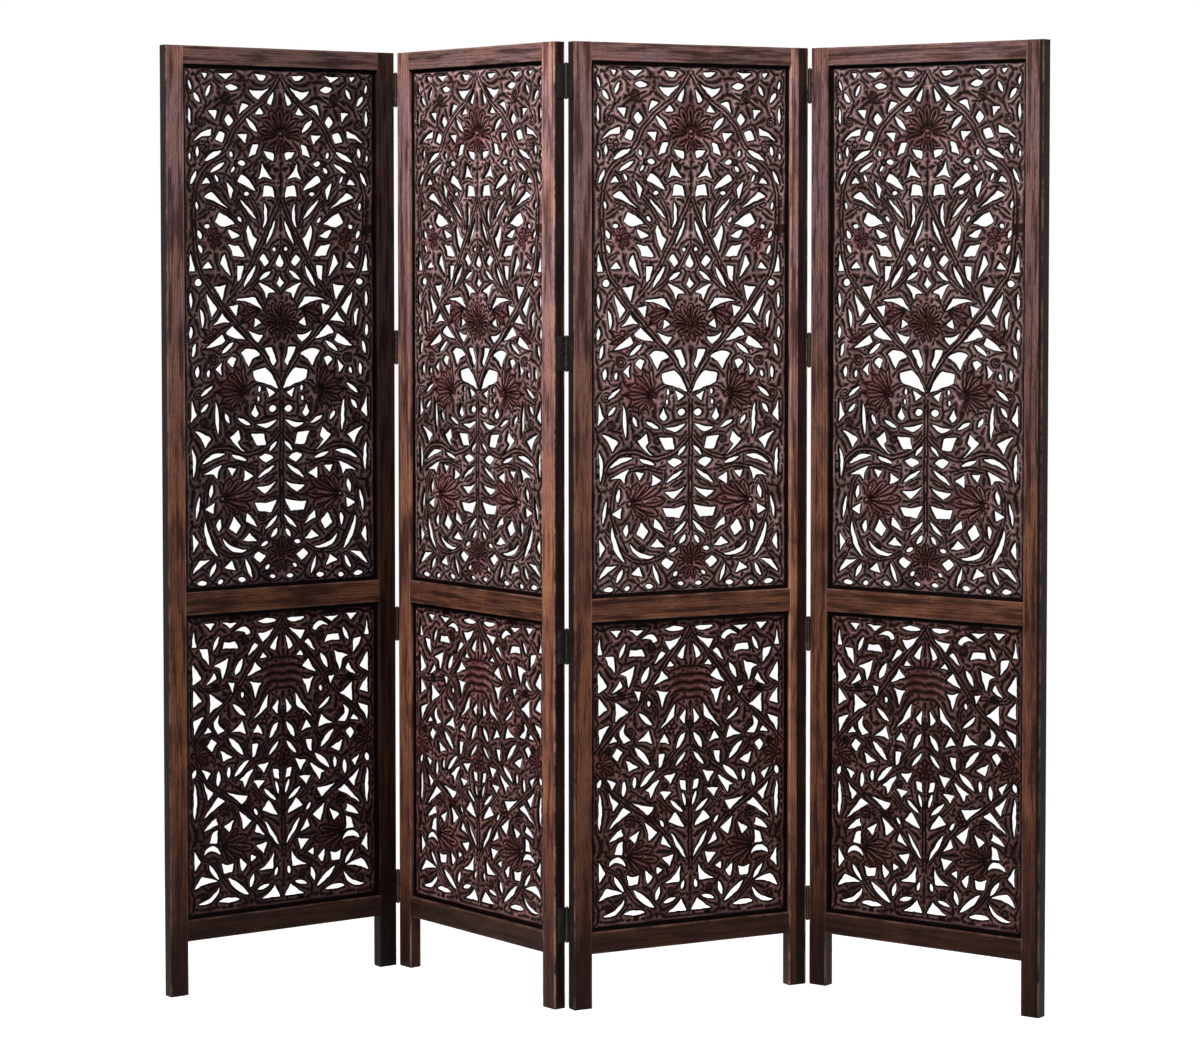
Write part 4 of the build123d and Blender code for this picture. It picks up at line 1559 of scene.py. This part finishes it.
        front = face(
            (np.array([bead[:2] for bead in self.beads()]), 0.0),
            wood(np.vstack(drawing.ruled), 0.9, 1.4),
            (drawing.spines, 1.5),
            wood(self.border_lines(3.0), 1.5, 1.2),
            wood(self.beside(rims, 1.5), 1.2, 1.3),
            (drawing.crests, 1.4),
            wood(self.beside(drawing.ruled, 1.6), 1.1, 1.4),
            wood(self.beside(rims, 3.4), 2.8, 2.2),
            wood(self.lattice(self.fill_gap), 2.0, 2.8),
        )
        back = face(
            wood(np.vstack(drawing.back_cuts), 1.2, 1.8),
            wood(self.beside(drawing.back_cuts, 1.9), 1.4, 1.6),
            (drawing.spines[::2], 2.6),
            wood(self.beside(rims, self.back_reach), 2.4, 2.8),
            wood(self.lattice(self.back_gap), 3.0, 4.2),
        )
        return front, back

    def bloom_at(self, points: np.ndarray) -> np.ndarray:
        """Works out how much redder the stain is.

        Args:
            points: The points asked about.

        Returns:
            The share at each point.
        """
        bloom = np.zeros(len(points))
        for patch in self.carving.blooms:
            for side in (1, -1):
                off = points - (side * patch.centre[0], patch.centre[1])
                bloom = np.maximum(bloom, held(1.6 * (1 - np.linalg.norm(off, axis=1) / patch.radius)))
        return bloom

    def beads_at(self, points: np.ndarray) -> np.ndarray:
        """Finds the points that carry a seed bead.

        Args:
            points: The points asked about.

        Returns:
            The bead's radius at each point in metres, 0 where there is none.
        """
        bead = np.zeros(len(points))
        tree = tree_of(points)
        for u, v, radius in self.beads():
            at, reach = nearest(tree, np.array([[u, v]]))
            if reach[0] < 0.5:
                bead[at[0]] = radius * MM
        return bead

    def front_values(self, drawing: Drawing, points: np.ndarray) -> dict[str, np.ndarray]:
        """Works out the relief, the stain, and the painted shade and highlight on the front.

        Args:
            drawing: What is set out on the board.
            points: The front's points.

        Returns:
            The values at each point, by the name they are stored under.
        """
        edge = nearest(drawing.bounds, points)[1]
        index, cut = nearest(drawing.floors, points)
        inset = self.from_frame(points)
        on_sheet = inset > 0
        fall = self.rim_drop * held(1 - edge / self.rim_reach) ** self.rim_curve
        sink = self.cut_gain * drawing.depths[index] * held(1 - cut / self.cut_reach) ** self.cut_curve
        relief = np.maximum(fall, sink) + self.overlap * np.minimum(fall, sink)
        fillet = self.border_drop * held((self.border + 1.8 - inset) / 2.6) ** 0.8
        # mask of the crests, which carry wear with a painted highlight
        off_top = nearest(tree_of(drawing.crests), points)[1]
        crest_wear_and_highlight = held(1.15 - off_top / 1.3) * held((np.minimum(edge, cut) - 1.0) / 1.3)
        # painted shade with gathered stain beside openings and cuts, and a painted shadow of the frame along
        # the sunk border
        pooling_and_shade = np.maximum(held(1.25 - edge / 3.3), held(1.2 - cut / 2.1) * 0.96)
        pooling_and_shade = np.maximum(pooling_and_shade, 0.94 * held((self.border + 1.0 - inset) / 1.4))
        return {
            "relief": np.maximum(relief, fillet) * on_sheet * MM,
            "carved": on_sheet.astype(float),
            "crest_wear_and_highlight": crest_wear_and_highlight * (on_sheet & (inset > self.border + 1.4)),
            "pooling_and_shade": pooling_and_shade * on_sheet,
            "bloom": self.bloom_at(points),
            "bead": self.beads_at(points),
        }

    def back_values(self, drawing: Drawing, points: np.ndarray) -> dict[str, np.ndarray]:
        """Works out the relief, the stain, and the painted shade and highlight on the back.

        Args:
            drawing: What is set out on the board.
            points: The back's points.

        Returns:
            The values at each point, by the name they are stored under.
        """
        edge = nearest(drawing.bounds, points)[1]
        lines = [spaced(line, self.dense_cut) for line in drawing.back_cuts]
        cut = nearest(tree_of(np.vstack(lines)), points)[1]
        fall = self.back_drop * held(1 - edge / (self.back_reach + 1.2))
        relief = -np.maximum(fall, self.back_cut_depth * held(1 - cut / self.back_cut_reach))
        # painted shade with gathered stain beside openings and cuts on the back; the crests below get wear
        # with a painted highlight
        dark = np.maximum(held(1.2 - edge / 2.4), held(1.1 - cut / 1.5))
        return {
            "relief": relief * (self.from_frame(points) > 0) * MM,
            "crest_wear_and_highlight": 0.7 * held((np.minimum(edge, cut) - 1.4) / 1.6),
            "pooling_and_shade": 0.9 * dark,
        }

    def build(self, outline: Outline) -> bpy.types.Mesh:
        """Meshes the board in panel axes, in metres, with its relief stored and not yet cut.

        Args:
            outline: The board's outline.

        Returns:
            The mesh.
        """
        drawing = self.draw(self.cut_openings(outline))
        front, back = self.lay_faces(outline, drawing)
        totals = len(front.triangles), len(back.triangles)
        LOG.info("%s: %d front and %d back triangles", self.sheet.value, *totals)
        count = len(front.points)
        points = np.zeros((count + len(back.points), 3))
        points[:count, [0, 2]], points[count:, [0, 2]] = front.points, back.points
        points[:, 2] += self.foot
        points[:count, 1], points[count:, 1] = outline.front, outline.back
        walls = []
        for here, there in zip(front.loops, back.loops):
            a, b = here, np.roll(here, -1)
            c, d = there + count, np.roll(there, -1) + count
            walls += [np.column_stack([a, b, d]), np.column_stack([a, d, c])]
        faces = np.vstack([front.triangles, back.triangles[:, ::-1] + count, *walls])
        mesh = bpy.data.meshes.new(self.sheet.value)
        mesh.from_pydata((points * MM).tolist(), [], faces.tolist())
        behind = self.back_values(drawing, back.points)
        for key, values in self.front_values(drawing, front.points).items():
            stored = mesh.attributes.new(key, "FLOAT", "POINT")
            rest = behind.get(key, np.zeros(len(back.points)))
            stored.data.foreach_set("value", np.concatenate([values, rest]).astype(np.float32))
        tidy_normals(mesh)
        return mesh


def tidy_normals(mesh: bpy.types.Mesh) -> None:
    """Turns every face of a closed mesh outwards.

    Args:
        mesh: The mesh, changed in place.
    """
    shape = bmesh.new()
    shape.from_mesh(mesh)
    bmesh.ops.recalc_face_normals(shape, faces=shape.faces[:])
    shape.to_mesh(mesh)
    shape.free()


def new_piece(name: str, mesh: bpy.types.ID) -> bpy.types.Object:
    """Adds an object to the scene.

    Args:
        name: The object's name.
        mesh: Its mesh, lamp or camera.

    Returns:
        The object.
    """
    piece = bpy.data.objects.new(name, mesh)
    bpy.context.scene.collection.objects.link(piece)
    return piece


@dataclass(frozen=True)
class StainsAndShade:
    """How light or deep each timber of one panel is drawn, 1 being the stain as mixed: it carries real
    differences in stain and painted light and shade.
    """

    left: float
    right: float
    rails: float
    tall: float
    short: float
    right_shade_from: float = STILE_SHADE_FROM
    # Where the painted shade on the right stile's outer edge starts, in metres from the panel's middle.
    """Where the right stile's dark outer edge starts, in metres from the panel's middle."""


@dataclass
class Panel:
    """One hinged panel: its frame's finish and its two carved boards."""

    place: PanelPlace
    tones_and_shade: StainsAndShade
    timber: FrameTimber = FrameTimber()
    tall_jali: JaliTimber = JaliTimber()
    short_jali: JaliTimber = JaliTimber(
        base=linear(66, 37, 34),
        dark=linear(34, 16, 14),
        # the pale colours of the crests, for wear with a painted highlight
        rubbed=linear(180, 134, 129),
        blush=linear(168, 106, 102),
    )
    gouge_marks: float = 0.0005
    sharp_angle: float = math.radians(48)

    def dress_frame(self, nodes: dict[str, bpy.types.Object]) -> None:
        """Gives the stiles and rails their stain, with the grain along each, and the panel's painted light
        and shade.

        Args:
            nodes: The CAD nodes, by name.
        """
        body = self.place.body
        # the right stile's painted edge shade starts where this panel's table sets it
        timber = replace(self.timber, outer=self.tones_and_shade.right_shade_from)
        sides = (("left", self.tones_and_shade.left, self.timber), ("right", self.tones_and_shade.right, timber))
        for side, strength, wood in sides:
            stain = wood.at_strength(strength).make(
                f"{body}_{side}_stile_stain",
                self.place,
                Grain.UPRIGHT,
                Vector((STILE_MIDDLE, 0, 0)),
                Vector((STILE_HALF_WIDTH, HALF_THICKNESS, 0)),
            )
            paint_node(nodes[self.place.node(f"{side}_stile")], stain)
        rails = self.timber.at_strength(self.tones_and_shade.rails)
        for name in ("top_rail", "middle_rail", "bottom_rail"):
            low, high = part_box(self.place.node(name))
            middle, half = (low.z + high.z) / 2, (high.z - low.z) / 2
            section = Vector((0, 0, middle)), Vector((0, HALF_THICKNESS, half))
            stain = rails.make(f"{body}_{name}_stain", self.place, Grain.LEVEL, *section)
            paint_node(nodes[self.place.node(name)], stain)

    def add_board(self, sheet: Sheet, mesh: bpy.types.Mesh, recipe: Recipe) -> bpy.types.Object:
        """Cuts one board's relief and stands it in the panel.

        Args:
            sheet: Which board it is.
            mesh: The board as laid out, in panel axes.
            recipe: The carving tree.

        Returns:
            The piece.
        """
        node = self.place.node(sheet.value)
        if sheet is Sheet.TALL:
            timber, strength = self.tall_jali, self.tones_and_shade.tall
        else:
            timber, strength = self.short_jali, self.tones_and_shade.short
        # the strength carries the panel's painted light and shade along with its stain
        stain = timber.at_strength(strength).make(f"{node}_stain", self.place)
        blank = new_piece("blank", mesh)
        seed = self.place.number * 7.0 + len(node)
        made = recipe.run(blank, Depth=1.0, Gouge_Marks=self.gouge_marks, Seed=seed, Material=stain)
        bpy.data.objects.remove(blank)
        made.name = node.replace("_jali", "_carving")
        for key in ("relief", "carved", "bead"):
            if key in made.attributes:
                made.attributes.remove(made.attributes[key])
        made.polygons.foreach_set("use_smooth", [True] * len(made.polygons))
        made.set_sharp_from_angle(angle=self.sharp_angle)
        made.transform(self.place.matrix)
        piece = new_piece(made.name, made)
        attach(piece, self.place.body)
        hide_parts(node)
        return piece


def paint_node(node: bpy.types.Object, material: bpy.types.Material) -> None:
    """Gives a CAD node a material in place of its own.

    Args:
        node: The node's object.
        material: The material.
    """
    if not node.material_slots:
        node.data.materials.append(material)
    for slot in node.material_slots:
        slot.material = material


# ---- Studio ----------------------------------------------------------------------------


@dataclass
class Lamp:
    """A soft rectangular lamp aimed at a point."""

    name: str
    place: Vector
    target: Vector
    size: float
    power: float
    colour: Colour = (1.0, 1.0, 1.0)

    def hang(self) -> None:
        """Adds the lamp to the scene."""
        light = bpy.data.lights.new(self.name, "AREA")
        light.shape, light.size = "SQUARE", self.size
        light.energy, light.color = self.power, self.colour
        lamp = new_piece(self.name, light)
        lamp.location = self.place
        lamp.rotation_euler = (self.target - self.place).to_track_quat("-Z", "Y").to_euler()


@dataclass
class Studio:
    """The floor, the lamps, the white surround and the camera."""

    lamps: tuple[Lamp, ...]
    world_strength: float = 0.14
    floor_radius: float = 5.0
    floor_fade: Point = (0.9, 1.7)
    floor_glow: float = 0.62
    camera_place: Vector = Vector((-0.0745, -6.4547, 1.4542))
    camera_turn: Euler = Euler((math.radians(90 - 2.658), 0.0, math.radians(-0.966)))
    focal: float = 100.45
    shift: Point = (-0.01325, -0.1023)

    def lay_floor(self) -> None:
        """Adds a pale floor that keeps the screen's shadow and fades to white."""
        shape = bmesh.new()
        bmesh.ops.create_circle(shape, cap_ends=True, segments=64, radius=self.floor_radius)
        mesh = bpy.data.meshes.new("floor")
        shape.to_mesh(mesh)
        shape.free()
        paint = Paint("floor_white")
        where = paint.node("ShaderNodeTexCoord").outputs["Object"]
        length = paint.node("ShaderNodeVectorMath", operation="LENGTH")
        paint.feed(length.inputs[0], where)
        far = paint.fit(length.outputs["Value"], *self.floor_fade, 0.0, 1.0)
        speck = paint.noise(where, 24.0)
        pale = paint.mix(speck, (0.80, 0.80, 0.80), (0.83, 0.83, 0.83))
        matt = paint.node("ShaderNodeBsdfDiffuse")
        plain = paint.shown_plain()
        paint.feed(matt.inputs["Color"], paint.mix(plain, (0.30, 0.30, 0.30), pale))
        glow, white = (paint.node("ShaderNodeEmission") for _ in range(2))
        paint.feed(glow.inputs["Strength"], paint.sum("MULTIPLY", plain, self.floor_glow))
        lit = paint.node("ShaderNodeAddShader")
        paint.feed(lit.inputs[0], matt.outputs[0])
        paint.feed(lit.inputs[1], glow.outputs[0])
        share = paint.sum("MULTIPLY", far, plain)
        paint.close("ShaderNodeOutputMaterial", share, lit.outputs[0], white.outputs[0])
        mesh.materials.append(paint.material)
        new_piece("floor", mesh)

    def set_surround(self) -> None:
        """Sets a white surround that lights the screen gently and shows as plain white."""
        world = bpy.data.worlds.new("studio")
        bpy.context.scene.world = world
        wiring = Wiring(world)
        lit, white = (wiring.node("ShaderNodeBackground") for _ in range(2))
        for shade in (lit, white):
            shade.inputs["Color"].default_value = (1.0, 1.0, 1.0, 1.0)
        lit.inputs["Strength"].default_value = self.world_strength
        wiring.close("ShaderNodeOutputWorld", wiring.shown_plain(), lit.outputs[0], white.outputs[0])

    def set_camera(self) -> None:
        """Adds the camera."""
        lens = bpy.data.cameras.new("camera")
        lens.lens, lens.sensor_width, lens.sensor_fit = self.focal, 36.0, "HORIZONTAL"
        lens.shift_x, lens.shift_y = self.shift
        lens.clip_end = 60.0
        camera = new_piece("camera", lens)
        camera.location, camera.rotation_euler = self.camera_place, self.camera_turn
        bpy.context.scene.camera = camera

    def build(self) -> None:
        """Sets up everything round the screen."""
        self.set_camera()
        self.lay_floor()
        self.set_surround()
        for lamp in self.lamps:
            lamp.hang()
        bpy.context.scene.view_settings.view_transform = "Standard"


STUDIO = Studio(
    lamps=(
        Lamp("key", Vector((-0.9, -1.9, 3.3)), Vector((0.0, 0.0, 1.3)), 0.8, 130.0),
        Lamp("fill", Vector((2.6, -3.6, 2.4)), Vector((0.0, 0.0, 1.0)), 1.6, 16.0),
        Lamp("rear", Vector((1.2, 3.2, 2.8)), Vector((0.0, 0.0, 1.1)), 1.6, 130.0),
    )
)
# partly real differences in stain and partly painted light and shade: panel 1 and its right stile are painted
# into shade, the right stiles of panels 2 and 3 are painted bright as a highlight, and panel 3's right stile
# has painted shade over the outer part of its front
PANEL_STAINS_AND_SHADE = {
    1: StainsAndShade(left=0.80, right=0.14, rails=0.50, tall=0.34, short=0.27),
    2: StainsAndShade(left=1.45, right=2.10, rails=0.95, tall=1.15, short=0.95),
    3: StainsAndShade(left=1.00, right=2.00, rails=0.98, tall=1.15, short=0.62, right_shade_from=0.2320),
    4: StainsAndShade(left=0.85, right=0.90, rails=0.80, tall=0.78, short=0.48, right_shade_from=0.2450),
}


def main() -> None:
    """Builds and dresses the screen."""
    logging.basicConfig(level=logging.INFO, format="%(message)s")
    noise.seed_set(STRAY_SEED)
    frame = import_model()
    nodes = frame["nodes"]
    STUDIO.build()
    recipe = carving_recipe()
    places = [find_place(n, nodes[f"panel_{n}_top_rail"]) for n in PANELS]
    boards = (
        CarvedBoard(Sheet.TALL, foot=780.0, carving=TALL_CARVING),
        CarvedBoard(Sheet.SHORT, foot=145.0, carving=SHORT_CARVING),
    )
    meshes = {}
    for board in boards:
        first = nodes[places[0].node(board.sheet.value)]
        meshes[board.sheet] = board.build(Outline.read(first, places[0], board.foot))
    for place in places:
        panel = Panel(place, PANEL_STAINS_AND_SHADE[place.number])
        panel.dress_frame(nodes)
        for sheet, mesh in meshes.items():
            piece = panel.add_board(sheet, mesh, recipe)
            LOG.info("%s: %d triangles", piece.name, len(piece.data.polygons))
    iron, pin_steel = Ironwork().make("blackened_iron"), Ironwork(rough=0.36).make("pin_steel")
    screw_steel = Ironwork(linear(62, 58, 54), linear(120, 114, 106), 0.34).make("screw_steel")
    for name, node in nodes.items():
        for ending, metal in (("_leaf", iron), ("_pins", pin_steel), ("_screws", screw_steel)):
            if name.endswith(ending):
                paint_node(node, metal)


if __name__ == "__main__":
    main()
